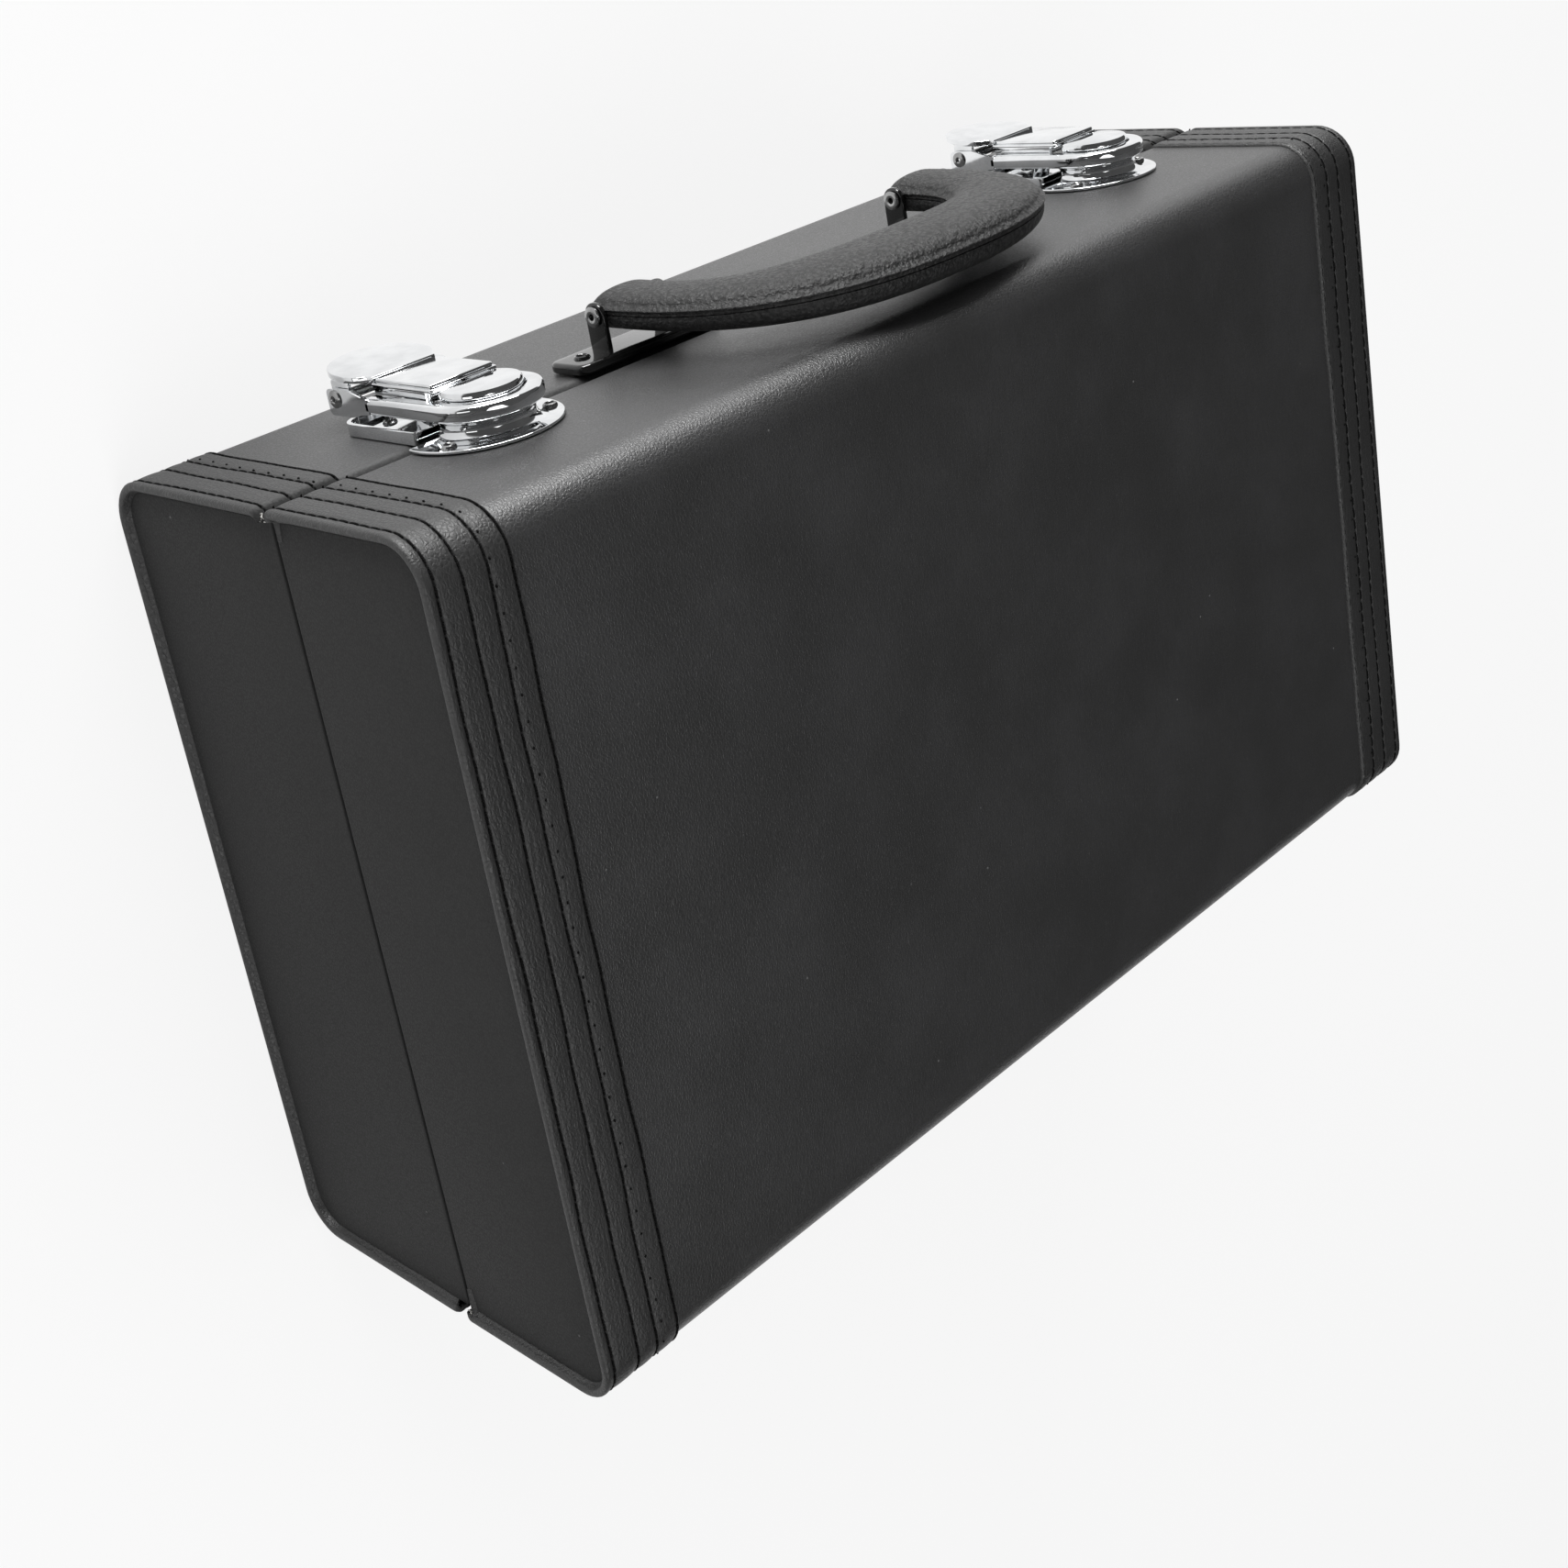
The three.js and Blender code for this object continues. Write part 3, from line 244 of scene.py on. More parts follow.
def specks(place, spacing, radius):
    """1 on round specks scattered over a surface, in patches."""
    cell = place.node("TexVoronoi", {}, {"Vector": place, "Scale": 1 / spacing})
    return cell.ramp(radius / spacing, 0.6 * radius / spacing) * noise(place, 0.03).ramp(0.5, 0.56)


def leatherette(
    name, dark, light, roughness, shine, grain_mm, grain_depth, streaks, crease=0.0, folded=1.0
):
    """Coated cloth with an embossed grain: small pebbles, streaks, fine creases and dust.

    Where it is folded over the rims at the seam it is dull, and there and in the grooves that the
    stitches draw in, its colour is darkened to near black as painted shade."""
    material, shader, place = surface(name, roughness, Specular_IOR_Level=shine)
    shift = place.node("TexNoise", {}, {"Vector": place, "Scale": 0.9}, 1)
    warped = place.node("VectorMath", {"operation": "ADD"}, {0: place, 1: shift})
    edges = {"Vector": stretched(warped, (1, 0.7, 1)), "Scale": 1 / grain_mm}
    pebble = warped.node("TexVoronoi", {"feature": "DISTANCE_TO_EDGE"}, edges).ramp(0.0, 0.28)
    streak = noise(stretched(place, streaks), 1.4, 3)
    cloud = noise(place, 0.035, 3)
    fine = noise(place, 5.5, 2)
    drawn = place.node("Attribute", {"attribute_name": "drawn"}, {}, "Fac")
    wear = (cloud * 0.6 + streak * 0.4).ramp(0.35, 0.7)
    colour = mixed(wear * 0.7 + pebble * 0.3, dark, light)
    colour = mixed(specks(place, 9, 0.4) * 0.5, colour, (0.2, 0.2, 0.2))
    level = place.node("SeparateXYZ", {}, {0: place}, 2)
    fold = level.ramp(fold_start, fold_full) * level.ramp(base_depth + lid_fold, base_depth) * folded
    # Painted shade: the colour goes near black in the stitch grooves and on the fold at the seam,
    # where the groove between the halves lies in shade
    painted_shade = drawn.most(fold) * 0.93
    mixed(painted_shade, colour, (0.001, 0.001, 0.001)).feed(shader, "Base Color")
    dull = drawn * 0.4 + fold * 0.5
    (roughness - 0.07 + cloud * 0.14 + (1 - pebble) * 0.12 + dull).feed(shader, "Roughness")
    height = pebble * 0.55 + fine * 0.25 + streak * 0.5 - fold * pebble * 0.4
    if crease:
        folds = noise(stretched(place, (0.9, 0.16, 0.16)), 1.1, 4)
        height = height + folds.ramp(0.3, 0.75) * crease
    bumps(height, shader, grain_depth)
    return material


def round_corner(mesh, vert, bend, segments):
    """Rounds one corner of a flat face."""
    if bend:
        bmesh.ops.bevel(
            mesh,
            geom=[vert],
            offset=bend,
            segments=segments,
            profile=0.5,
            affect="VERTICES",
            material=-1,
        )


def draw_out(mesh, edges, way):
    """Draws edges out straight into a sheet."""
    pushed = bmesh.ops.extrude_edge_only(mesh, edges=edges)["geom"]
    moved = [v for v in pushed if isinstance(v, bmesh.types.BMVert)]
    bmesh.ops.translate(mesh, vec=way, verts=moved)


def path_round(mesh, half, low, rim, radius, fold):
    """Wire of a strip bent round one half, in y and z, from rim to rim under the tray."""
    corners = (
        (-wall_inner, rim, 0),
        (-half, rim, fold),
        (-half, low, radius),
        (half, low, radius),
        (half, rim, fold),
        (wall_inner, rim, 0),
    )
    verts = [mesh.verts.new((0, y, z)) for y, z, bend in corners]
    mesh.faces.new(verts)
    for vert, (y, z, bend) in zip(verts, corners):
        round_corner(mesh, vert, bend, segments=10)
    bmesh.ops.delete(mesh, geom=mesh.faces[:], context="FACES_ONLY")
    # The long edge that closed the face across the tray's opening goes too
    wide = [e for e in mesh.edges if abs(e.verts[0].co.y - e.verts[1].co.y) > wall_inner]
    across_opening = [e for e in wide if e.verts[0].co.z > rim - fold]
    bmesh.ops.delete(mesh, geom=across_opening, context="EDGES")


def finished(name, mesh, place, body, material, nodes=(), sharp=35):
    """A bmesh drawn in millimetres becomes a piece of the frame, which is in metres."""
    bmesh.ops.transform(mesh, matrix=place, verts=mesh.verts)
    bmesh.ops.recalc_face_normals(mesh, faces=mesh.faces)
    data = bpy.data.meshes.new(name)
    mesh.to_mesh(data)
    mesh.free()
    data.shade_smooth()
    data.set_sharp_from_angle(angle=math.radians(sharp))
    data.materials.append(material)
    made = bpy.data.objects.new(name, data)
    bpy.context.scene.collection.objects.link(made)
    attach(made, body)
    if nodes:
        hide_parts(*nodes)
    return made


cover_leather = leatherette(
    "cover_leatherette",
    dark=(0.016, 0.016, 0.016),
    light=(0.025, 0.025, 0.026),
    roughness=0.36,
    shine=1.0,
    grain_mm=0.85,
    grain_depth=0.07,
    streaks=(1, 0.12, 1),
)
halves = (
    ("base", "base", base_place, base_depth, base_fold),
    ("lid", "lid", lid_place, lid_depth, lid_fold),
)
for half_name, body, place, depth, fold in halves:
    mesh = bmesh.new()
    rim = depth - seam_gap / 2
    path_round(mesh, case_half_width - cover_inset, cover_inset, rim, edge_radius - cover_inset, fold)
    bmesh.ops.translate(mesh, vec=(-cover_end, 0, 0), verts=mesh.verts)
    draw_out(mesh, mesh.edges, (2 * cover_end, 0, 0))
    bmesh.ops.recalc_face_normals(mesh, faces=mesh.faces)
    bmesh.ops.solidify(mesh, geom=mesh.faces[:], thickness=cover_sheet)
    node = half_name + "_cover"
    finished(half_name + "_leatherette", mesh, place, body, cover_leather, [node])


# End bands. A doubled strip of leatherette goes round each end over the cover. Three rows of
# black thread and a fourth along its turned inner edge sew it down, and its outer edge is
# rolled over the rim of the end board. The needle draws the strip in at every stitch.
band_sheet = 0.4
bead_radius = 1.2
bead_foot = 2.0
panel_inset = 3.1
stitch_rows = (2.9, 10.3, 16.7, 23.2)
stitch_pitch = 4
stitch_sink = 0.72
spare_hole_row = 18.2
spare_hole_pitch = 6.3
spare_hole_half_length = 0.42
spare_hole_radius = 0.3
spare_hole_sink = 0.2
surface_inset = 0.05
groove_depth = 0.5
groove_half_width = 0.36
pucker_depth = 0.2
quilt_depth = 0.16
quilt_half_width = 1.7
row_wander = 0.22
wander_reach = 2.2
path_step = 1.0
thread_radius = 0.33
stitch_half_length = 1.85
turned_edge = ((24, 1.0), (23.97, 0.75), (23.85, 0.5), (23.6, 0.25), (23.4, 0.1))
wide_step = 0.8
near_row = 1.2
near_step = 0.3
at_row = 0.6
at_step = 0.15
bead_steps = 8
fray_threads = 7
fray_at = (180.1, -107.6)
fray_drop = 0.7
fray_radii = (0.22, 0.06)
band_leather = leatherette(
    "band_leatherette",
    dark=(0.011, 0.011, 0.011),
    light=(0.018, 0.018, 0.018),
    roughness=0.45,
    shine=0.8,
    grain_mm=1.1,
    grain_depth=0.1,
    streaks=(1, 0.3, 0.3),
    crease=0.8,
)
thread_black, thread_shader, thread_place = surface("black_thread", 0.9, Specular_IOR_Level=0.1)
twist_sockets = {"Vector": thread_place, "Scale": 0.9}
twist = thread_place.node("TexWave", {"bands_direction": "DIAGONAL"}, twist_sockets)
mixed(twist, (0.002, 0.002, 0.002), (0.006, 0.006, 0.006)).feed(thread_shader, "Base Color")
bumps(twist, thread_shader, 0.1)
frayed_cloth, fray_shader, fray_place = surface("frayed_cloth", 0.9, Specular_IOR_Level=0.1)
tuft = noise(fray_place, 2.5, 2)
mixed(tuft, (0.16, 0.16, 0.15), (0.5, 0.49, 0.47)).feed(fray_shader, "Base Color")
bumps(tuft, fray_shader, 0.1)


def path_points(mesh):
    """Numbers the wire's points in order: their places, the length walked, the way out."""
    order = mesh.verts.layers.int.new("order")
    ends = [v for v in mesh.verts if len(v.link_edges) == 1]
    chain = [min(ends, key=lambda v: v.co.y)]
    while len(chain) < len(mesh.verts):
        chain.append(next(n for e in chain[-1].link_edges for n in e.verts if n not in chain[-2:]))
    for number, vert in enumerate(chain):
        vert[order] = number
    points = numpy.array([(v.co.y, v.co.z) for v in chain])
    steps = numpy.gradient(points, axis=0)
    steps /= numpy.linalg.norm(steps, axis=1)[:, None]
    lengths = numpy.linalg.norm(numpy.diff(points, axis=0), axis=1)
    walked = numpy.concatenate(([0], numpy.cumsum(lengths)))
    return order, points, walked, numpy.column_stack((steps[:, 1], -steps[:, 0]))


def wander(row, walked):
    """How far a row that was guided by hand strays across the strip."""
    slow = math.sin(walked / 21 + 2.3 * row) + 0.6 * math.sin(walked / 7.3 + row)
    step = math.sin(2.1 * row + 5.3 * math.floor(walked / stitch_pitch))
    return row_wander * (slow + 0.45 * step)


def strayed(from_end, walked):
    """A place across the strip, carried along by the nearest row where that strays."""
    row = min(stitch_rows, key=lambda r: abs(r - from_end))
    hold = min(max((from_end - bead_radius) / (stitch_rows[0] - bead_radius), 0), 1)
    near = math.exp(-(((from_end - row) / wander_reach) ** 2))
    return from_end + wander(row, walked) * hold * near


def drawn_in(from_end, walked):
    """How far the seams pull the strip in, at a place across it and along it."""
    hole = math.cos(2 * math.pi * walked / stitch_pitch)
    pull = 0.0
    for row in stitch_rows:
        away = from_end - row
        pull += (groove_depth + pucker_depth * hole) * math.exp(-((away / groove_half_width) ** 2))
        pull += quilt_depth * math.exp(-((away / quilt_half_width) ** 2))
    return pull


def strip_lines():
    """Places across the strip, from its inner edge to the foot of the bead, and their insets."""
    lines = list(turned_edge)
    from_end = turned_edge[-1][0] - 0.1
    while from_end > bead_radius:
        lines.append((from_end, surface_inset))
        nearest = min(abs(from_end - row) for row in stitch_rows)
        step = near_step if nearest < near_row else wide_step
        from_end -= at_step if nearest < at_row else step
    for k in range(bead_steps + 1):
        turn = math.pi * k / bead_steps
        inset = surface_inset + bead_radius * (1 - math.cos(turn))
        lines.append((bead_radius * (1 - math.sin(turn)), inset))
    lines.append((2 * bead_radius, bead_foot + bead_radius))
    return lines


def needlework(walked, points, outward):
    """The stitches of every row, and the spare needle holes beside one of them."""
    mesh = bmesh.new()
    across = Vector((1, 0, 0))
    stitch = (stitch_pitch, stitch_half_length, thread_radius, stitch_sink)
    hole = (spare_hole_pitch, spare_hole_half_length, spare_hole_radius, spare_hole_sink)
    marks = [(row, *stitch) for row in stitch_rows] + [(spare_hole_row, *hole)]
    for row, pitch, half_length, radius, sink in marks:
        for k in range(1, int(walked[-1] / pitch)):
            at = (k + 0.5) * pitch
            y, z = (numpy.interp(at, walked, points[:, axis]) for axis in (0, 1))
            out = [numpy.interp(at, walked, outward[:, axis]) for axis in (0, 1)]
            out = Vector((0, *out)).normalized()
            slant = wander(row, at + 1) - wander(row, at - 1)
            along = (across.cross(out) - across * slant / 2).normalized()
            centre = Vector((case_half_length - row - wander(row, at), y, z))
            centre -= out * groove_depth * sink
            axes = Matrix((along * half_length, across * radius, out * min(radius, thread_radius)))
            seat = Matrix.Translation(centre) @ axes.transposed().to_4x4()
            bmesh.ops.create_uvsphere(mesh, u_segments=6, v_segments=5, radius=1, matrix=seat)
    return mesh


def fray(rim):
    """Threads of the backing cloth that show where the bead is worn through at the seam."""
    mesh = bmesh.new()
    x, y = fray_at
    for k in range(fray_threads):
        angle = 2.4 * k
        drop = fray_drop + 0.25 * k
        centre = Vector((x + 0.5 * math.sin(3 * k), y + 0.9 * math.cos(angle), rim - drop))
        turn = Matrix.Rotation(angle, 4, "X") @ Matrix.Rotation(0.7 * math.sin(5 * k), 4, "Y")
        bmesh.ops.create_cone(
            mesh,
            cap_ends=True,
            segments=5,
            radius1=fray_radii[0],
            radius2=fray_radii[1],
            depth=1.0 + 0.5 * math.sin(k),
            matrix=Matrix.Translation(centre) @ turn,
        )
    return mesh


for half_name, body, place, depth, fold in halves:
    mesh = bmesh.new()
    rim = depth - seam_gap / 2
    path_round(mesh, case_half_width, 0, rim, edge_radius, fold)
    for edge in mesh.edges[:]:
        cuts = int(edge.calc_length() / path_step)
        if cuts:
            bmesh.ops.subdivide_edges(mesh, edges=[edge], cuts=cuts)
    order, points, walked, outward = path_points(mesh)
    drawn = mesh.verts.layers.float.new("drawn")
    line = mesh.edges[:]
    for number, (from_end, inset) in enumerate(strip_lines()):
        if number:
            pushed = bmesh.ops.extrude_edge_only(mesh, edges=line)["geom"]
            fresh = {v for v in pushed if isinstance(v, bmesh.types.BMVert)}
            line = [e for e in pushed if isinstance(e, bmesh.types.BMEdge) and set(e.verts) <= fresh]
        for vert in {v for e in line for v in e.verts}:
            k = vert[order]
            pull = drawn_in(from_end, walked[k]) if inset <= surface_inset else 0
            y, z = points[k] - outward[k] * (inset + pull)
            vert.co = (case_half_length - strayed(from_end, walked[k]), y, z)
            # How deep the strip is drawn into a groove, which the leatherette also reads to paint
            # shade into the grooves
            vert[drawn] = min(max(pull - quilt_depth, 0) / groove_depth, 1)
    # At the seam the turned part of the strip is cut away, where the end board's lip lies
    turned_end = case_half_length - panel_inset
    turned_in = case_half_width - panel_inset
    turned_top = rim - max(fold, bead_foot + 2 * bead_radius)
    loose = [
        f
        for f in mesh.faces
        if f.calc_center_median().x > turned_end
        and abs(f.calc_center_median().y) < turned_in
        and f.calc_center_median().z > turned_top
    ]
    bmesh.ops.delete(mesh, geom=loose, context="FACES")
    bmesh.ops.recalc_face_normals(mesh, faces=mesh.faces)
    bmesh.ops.solidify(mesh, geom=mesh.faces[:], thickness=band_sheet)
    sewing = needlework(walked, points, outward)
    for end, turn in (("right", 0), ("left", math.pi)):
        end_place = place @ Matrix.Rotation(turn, 4, "Z")
        name = half_name + "_band_" + end
        finished(name + "_strip", mesh.copy(), end_place, body, band_leather, [name])
        finished(name + "_stitches", sewing.copy(), end_place, body, thread_black)
        finished(name + "_fray", fray(rim), end_place, body, frayed_cloth)
    mesh.free()
    sewing.free()


# End boards. A thin board in smooth matt leatherette closes each end inside the rolled rim,
# with a softly rounded edge. Its covering is turned over the end wall of the tray.
panel_face = 179
panel_board = 1.6
panel_edge = 0.5
panel_top_corner = 1.2
board_gap = 0.35
lip_start = 172.5
lip_half_width = 102.4
lip_gauge = 1
panel_leather = leatherette(
    "end_leatherette",
    dark=(0.02, 0.02, 0.02),
    light=(0.027, 0.027, 0.027),
    roughness=0.62,
    shine=0.2,
    grain_mm=0.7,
    grain_depth=0.03,
    streaks=(1, 0.5, 0.5),
    folded=0.0,
)


def rounded_face(corners, low):
    """A bmesh with one flat face. Each corner is its two places and the radius of its arc."""
    mesh = bmesh.new()
    verts = [mesh.verts.new((a, b, low)) for a, b, bend in corners]
    mesh.faces.new(verts)
    for vert, (a, b, bend) in zip(verts, corners):
        round_corner(mesh, vert, bend, segments=4 + int(bend))
    return mesh


def oblong(start, end, low, high, low_bend, high_bend):
    """The four corners of a plate, with the radius of the arcs at its low and its high edge."""
    return (
        (start, low, low_bend),
        (end, low, low_bend),
        (end, high, high_bend),
        (start, high, high_bend),
    )


def softened(mesh, offset, segments=2, least_angle=0.5):
    """Rounds every edge of a mesh that turns by more than an angle."""
    sharp = [e for e in mesh.edges if len(e.link_faces) == 2 and e.calc_face_angle() > least_angle]
    if sharp and offset:
        bmesh.ops.bevel(
            mesh,
            geom=sharp,
            offset=offset,
            segments=segments,
            profile=0.5,
            affect="EDGES",
            material=-1,
            clamp_overlap=True,
        )
    return mesh


def thicken(mesh, thickness):
    """Gives a flat face its thickness."""
    raised = bmesh.ops.extrude_face_region(mesh, geom=mesh.faces[:])["geom"]
    verts = [v for v in raised if isinstance(v, bmesh.types.BMVert)]
    bmesh.ops.translate(mesh, vec=(0, 0, thickness), verts=verts)


def slab(corners, low, high, soft, segments=2):
    """A plate with rounded corners between two heights, its edges softened."""
    mesh = rounded_face(corners, low)
    thicken(mesh, high - low)
    bmesh.ops.recalc_face_normals(mesh, faces=mesh.faces)
    return softened(mesh, soft, segments)


def joined(*parts):
    """Several bmeshes as one."""
    whole = bmesh.new()
    for part in parts:
        carrier = bpy.data.meshes.new("carrier")
        part.to_mesh(carrier)
        part.free()
        whole.from_mesh(carrier)
        bpy.data.meshes.remove(carrier)
    return whole


def placed(mesh, matrix):
    bmesh.ops.transform(mesh, matrix=matrix, verts=mesh.verts)
    return mesh


# Turns a plate's own two axes to run along the second and third axis
side_on = Matrix(((0, 0, 1, 0), (1, 0, 0, 0), (0, 1, 0, 0), (0, 0, 0, 1)))
for half_name, body, place, depth, fold in halves:
    edge = case_half_width - panel_inset
    bend = edge_radius - panel_inset
    top = depth - seam_gap / 2 - board_gap
    corners = oblong(-edge, edge, panel_inset, top, bend, panel_top_corner)
    lip_corners = oblong(-lip_half_width, lip_half_width, top - lip_gauge, top, 0, 0)
    lip = slab(lip_corners, lip_start, panel_face - panel_edge, lip_gauge / 3)
    board = joined(slab(corners, panel_face - panel_board, panel_face, panel_edge), lip)
    for end, turn in (("right", 0), ("left", math.pi)):
        end_place = place @ Matrix.Rotation(turn, 4, "Z") @ side_on
        name = half_name + "_end_panel_" + end
        piece = board.copy()
        finished(name + "_board", piece, end_place, body, panel_leather, [name])
    board.free()


# Linings. The plywood trays are lined inside with black plush. In the base the plush covers a
# moulded tray with a hollow for each joint of the clarinet, and in the lid a soft foam pad,
# which is glued to the ceiling by its back.
lining_end = 172.6
lining_side = 102.8
insert_voxel = 0.0019
insert_rounding = 8
pad_voxel = 0.004
pad_start = (0.99, 0.985, 0.8)
pad_pressure = 4
pad_swell = 0.004
pad_moments = 20


def plush_pile(shader, place):
    """Short black pile, brushed this way and that: its colour, and where it lies flat."""
    brushed = noise(place, 0.03, 3).ramp(0.35, 0.65)
    pile = noise(place, 2.6, 3)
    bumps(pile + brushed * 0.5, shader, 0.35)
    colour = mixed(brushed * 0.6 + pile * 0.4, (0.004, 0.004, 0.005), (0.014, 0.014, 0.017))
    return colour, brushed


black_plush, plush_shader, plush_place = surface(
    "black_plush", 0.95, Sheen_Weight=0.5, Sheen_Roughness=0.4, Specular_IOR_Level=0.1
)
plush_colour, brushed = plush_pile(plush_shader, plush_place)
plush_colour.feed(plush_shader, "Base Color")
(0.98 - brushed * 0.12).feed(plush_shader, "Roughness")
lined_ply, ply_shader, ply_place = surface("lined_plywood", 0.8, Specular_IOR_Level=0.15)
lining_colour = plush_pile(ply_shader, ply_place)[0]
wood_grain = noise(stretched(ply_place, (0.06, 1, 1)), 0.5, 4)
wood_colour = mixed(wood_grain, (0.24, 0.14, 0.07), (0.42, 0.28, 0.16))
along, across = (ply_place.node("SeparateXYZ", {}, {0: ply_place}, axis) for axis in (0, 1))
past_end = (along * along).ramp((lining_end - 0.1) ** 2, lining_end**2)
from_middle = across - case_middle.y / mm
past_side = (from_middle * from_middle).ramp((lining_side - 0.1) ** 2, lining_side**2)
mixed(past_end.most(past_side), lining_colour, wood_colour).feed(ply_shader, "Base Color")
for half_name in ("base", "lid"):
    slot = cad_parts[half_name + "_box"].material_slots[0]
    slot.link = "OBJECT"
    slot.material = lined_ply


def solid_copy(node):
    """A mesh of a CAD solid, with its loose triangles joined."""
    mesh = bmesh.new()
    mesh.from_mesh(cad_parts[node].data)
    bmesh.ops.remove_doubles(mesh, verts=mesh.verts, dist=seam_gap * mm / 100)
    return mesh


def settled(piece):
    """Gives a piece the shape that its modifiers make at this moment, and removes them."""
    graph = bpy.context.evaluated_depsgraph_get()
    shaped = bpy.data.meshes.new_from_object(piece.evaluated_get(graph))
    piece.modifiers.clear()
    piece.data = shaped
    shaped.shade_smooth()


def evened(piece, voxel):
    """Divides a closed piece into small faces of one size."""
    remesh = piece.modifiers.new("evened", "REMESH")
    remesh.mode = "VOXEL"
    remesh.voxel_size = voxel
    settled(piece)


mould = solid_copy("base_insert")
tray = finished("clarinet_tray", mould, Matrix(), "base", black_plush, ["base_insert"])
evened(tray, insert_voxel)
rounding = tray.modifiers.new("rounding", "SMOOTH")
rounding.iterations = insert_rounding
settled(tray)

pad_low, pad_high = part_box("lid_pad")
pad_back = Vector(((pad_low.x + pad_high.x) / 2, (pad_low.y + pad_high.y) / 2, pad_high.z))
slack = solid_copy("lid_pad")
bmesh.ops.scale(slack, vec=pad_start, space=Matrix.Translation(-pad_back), verts=slack.verts)
padding = finished("lid_padding", slack, Matrix(), "lid", black_plush, ["lid_pad"])
evened(padding, pad_voxel)
before = [vert.co.copy() for vert in padding.data.vertices]
glued = padding.vertex_groups.new(name="glued")
ceiling = pad_high.z - pad_voxel / 2
glued.add([vert.index for vert in padding.data.vertices if vert.co.z > ceiling], 1, "ADD")
foam = padding.modifiers.new("foam", "CLOTH")
foam.settings.use_pressure = True
foam.settings.uniform_pressure_force = pad_pressure
foam.settings.effector_weights.gravity = 0
foam.settings.vertex_group_mass = glued.name
for moment in range(1, pad_moments + 1):
    bpy.context.scene.frame_set(moment)
settled(padding)
bpy.context.scene.frame_set(1)
for vert, old in zip(padding.data.vertices, before):
    moved = vert.co - old
    vert.co = old + moved * min(1, pad_swell / max(moved.length, pad_swell / 100))
finer = padding.modifiers.new("finer", "SUBSURF")
finer.levels = 1
finer.render_levels = 1


# Hinges. Two stamped nickel butt hinges on the back: leaves riveted to each half, rolled into
# knuckles about a headed pin at the seam.
hinge_half_width = 20
leaf_drop = 17
leaf_gauge = 1
knuckle_radius = 2.6
knuckle_count = 5
running_gap = 0.3
leaf_corner = 2.2
knuckle_corner = 0.4
knuckle_bore = 1.5
hinge_rivets = (-13, 0, 13)
hinge_rivet_radius = 2.2
hinge_pin_radius = 1.2
hinge_pin_head = 2.4
hinge_pin_head_rise = 0.8
hinge_pin_past = 1.1
rivet_rise = 0.7
rivet_sink = 0.2
leaf_soft = 0.25
knuckle_soft = 0.2


def plated(name, dark, light, roughness, scratch_depth):
    """Polished metal with faint wiping marks and a little dulling where it is handled."""
    material, shader, place = surface(name, roughness, Metallic=1.0)
    cloud = noise(place, 0.12, 4)
    wipe = noise(stretched(place, (1, 0.15, 0.6)), 3.5, 2)
    mixed(cloud.ramp(0.3, 0.7), dark, light).feed(shader, "Base Color")
    (roughness + cloud.ramp(0.45, 0.8) * 0.08 + wipe.ramp(0.6, 0.8) * 0.05).feed(shader, "Roughness")
    bumps(cloud + wipe * 0.2, shader, scratch_depth, 0.5)
    return material


nickel = plated("nickel_plate", (0.55, 0.54, 0.52), (0.7, 0.69, 0.67), 0.22, 0.02)


def turned(profile, soft=0.0, steps=40):
    """A profile of radius and height pairs, turned about the third axis."""
    mesh = bmesh.new()
    verts = [mesh.verts.new((radius, 0, height)) for radius, height in profile]
    edges = [mesh.edges.new(pair) for pair in zip(verts, verts[1:])]
    bmesh.ops.spin(
        mesh,
        geom=verts + edges,
        cent=(0, 0, 0),
        axis=(0, 0, 1),
        angle=2 * math.pi,
        steps=steps,
        use_merge=True,
    )
    bmesh.ops.remove_doubles(mesh, verts=mesh.verts, dist=0.001)
    bmesh.ops.recalc_face_normals(mesh, faces=mesh.faces)
    return softened(mesh, soft)


def dome(radius, rise):
    """A rivet's head."""
    rounds = [math.pi / 2 * k / 6 for k in range(7)]
    top = [(radius * math.cos(a), rise * math.sin(a)) for a in rounds[:-1]]
    return turned([(0, -rivet_sink), (radius, -rivet_sink)] + top + [(0, rise)], steps=24)


back_turn = Matrix(((-1, 0, 0, 0), (0, 0, 1, 0), (0, 1, 0, 0), (0, 0, 0, 1)))
across_bar = Matrix.Rotation(math.pi / 2, 4, "Y")
knuckle_seat = Matrix.Translation((0, 0, running_gap + knuckle_radius)) @ across_bar


def leaf(odd):
    """One leaf, below the seam, with every second knuckle."""
    step = 2 * hinge_half_width / knuckle_count
    low = -leaf_drop
    high = -knuckle_radius - running_gap
    half = hinge_half_width
    corners = oblong(-half, half, low, high, leaf_corner, knuckle_corner)
    parts = [slab(corners, running_gap, running_gap + leaf_gauge, leaf_soft)]
    for k in range(knuckle_count):
        if (k % 2 == 1) != odd:
            continue
        a = -half + k * step + running_gap / 2
        b = -half + (k + 1) * step - running_gap / 2
        profile = (
            (knuckle_bore, a),
            (knuckle_radius, a),
            (knuckle_radius, b),
            (knuckle_bore, b),
            (knuckle_bore, a),
        )
        parts.append(placed(turned(profile, knuckle_soft, 32), knuckle_seat))
        strap = oblong(a, b, high - leaf_gauge, 0, 0, 0)
        parts.append(slab(strap, running_gap, running_gap + leaf_gauge, 0))
    for u in hinge_rivets:
        middle = Matrix.Translation((u, (low + high) / 2, running_gap + leaf_gauge))
        parts.append(placed(dome(hinge_rivet_radius, rivet_rise), middle))
    return joined(*parts)


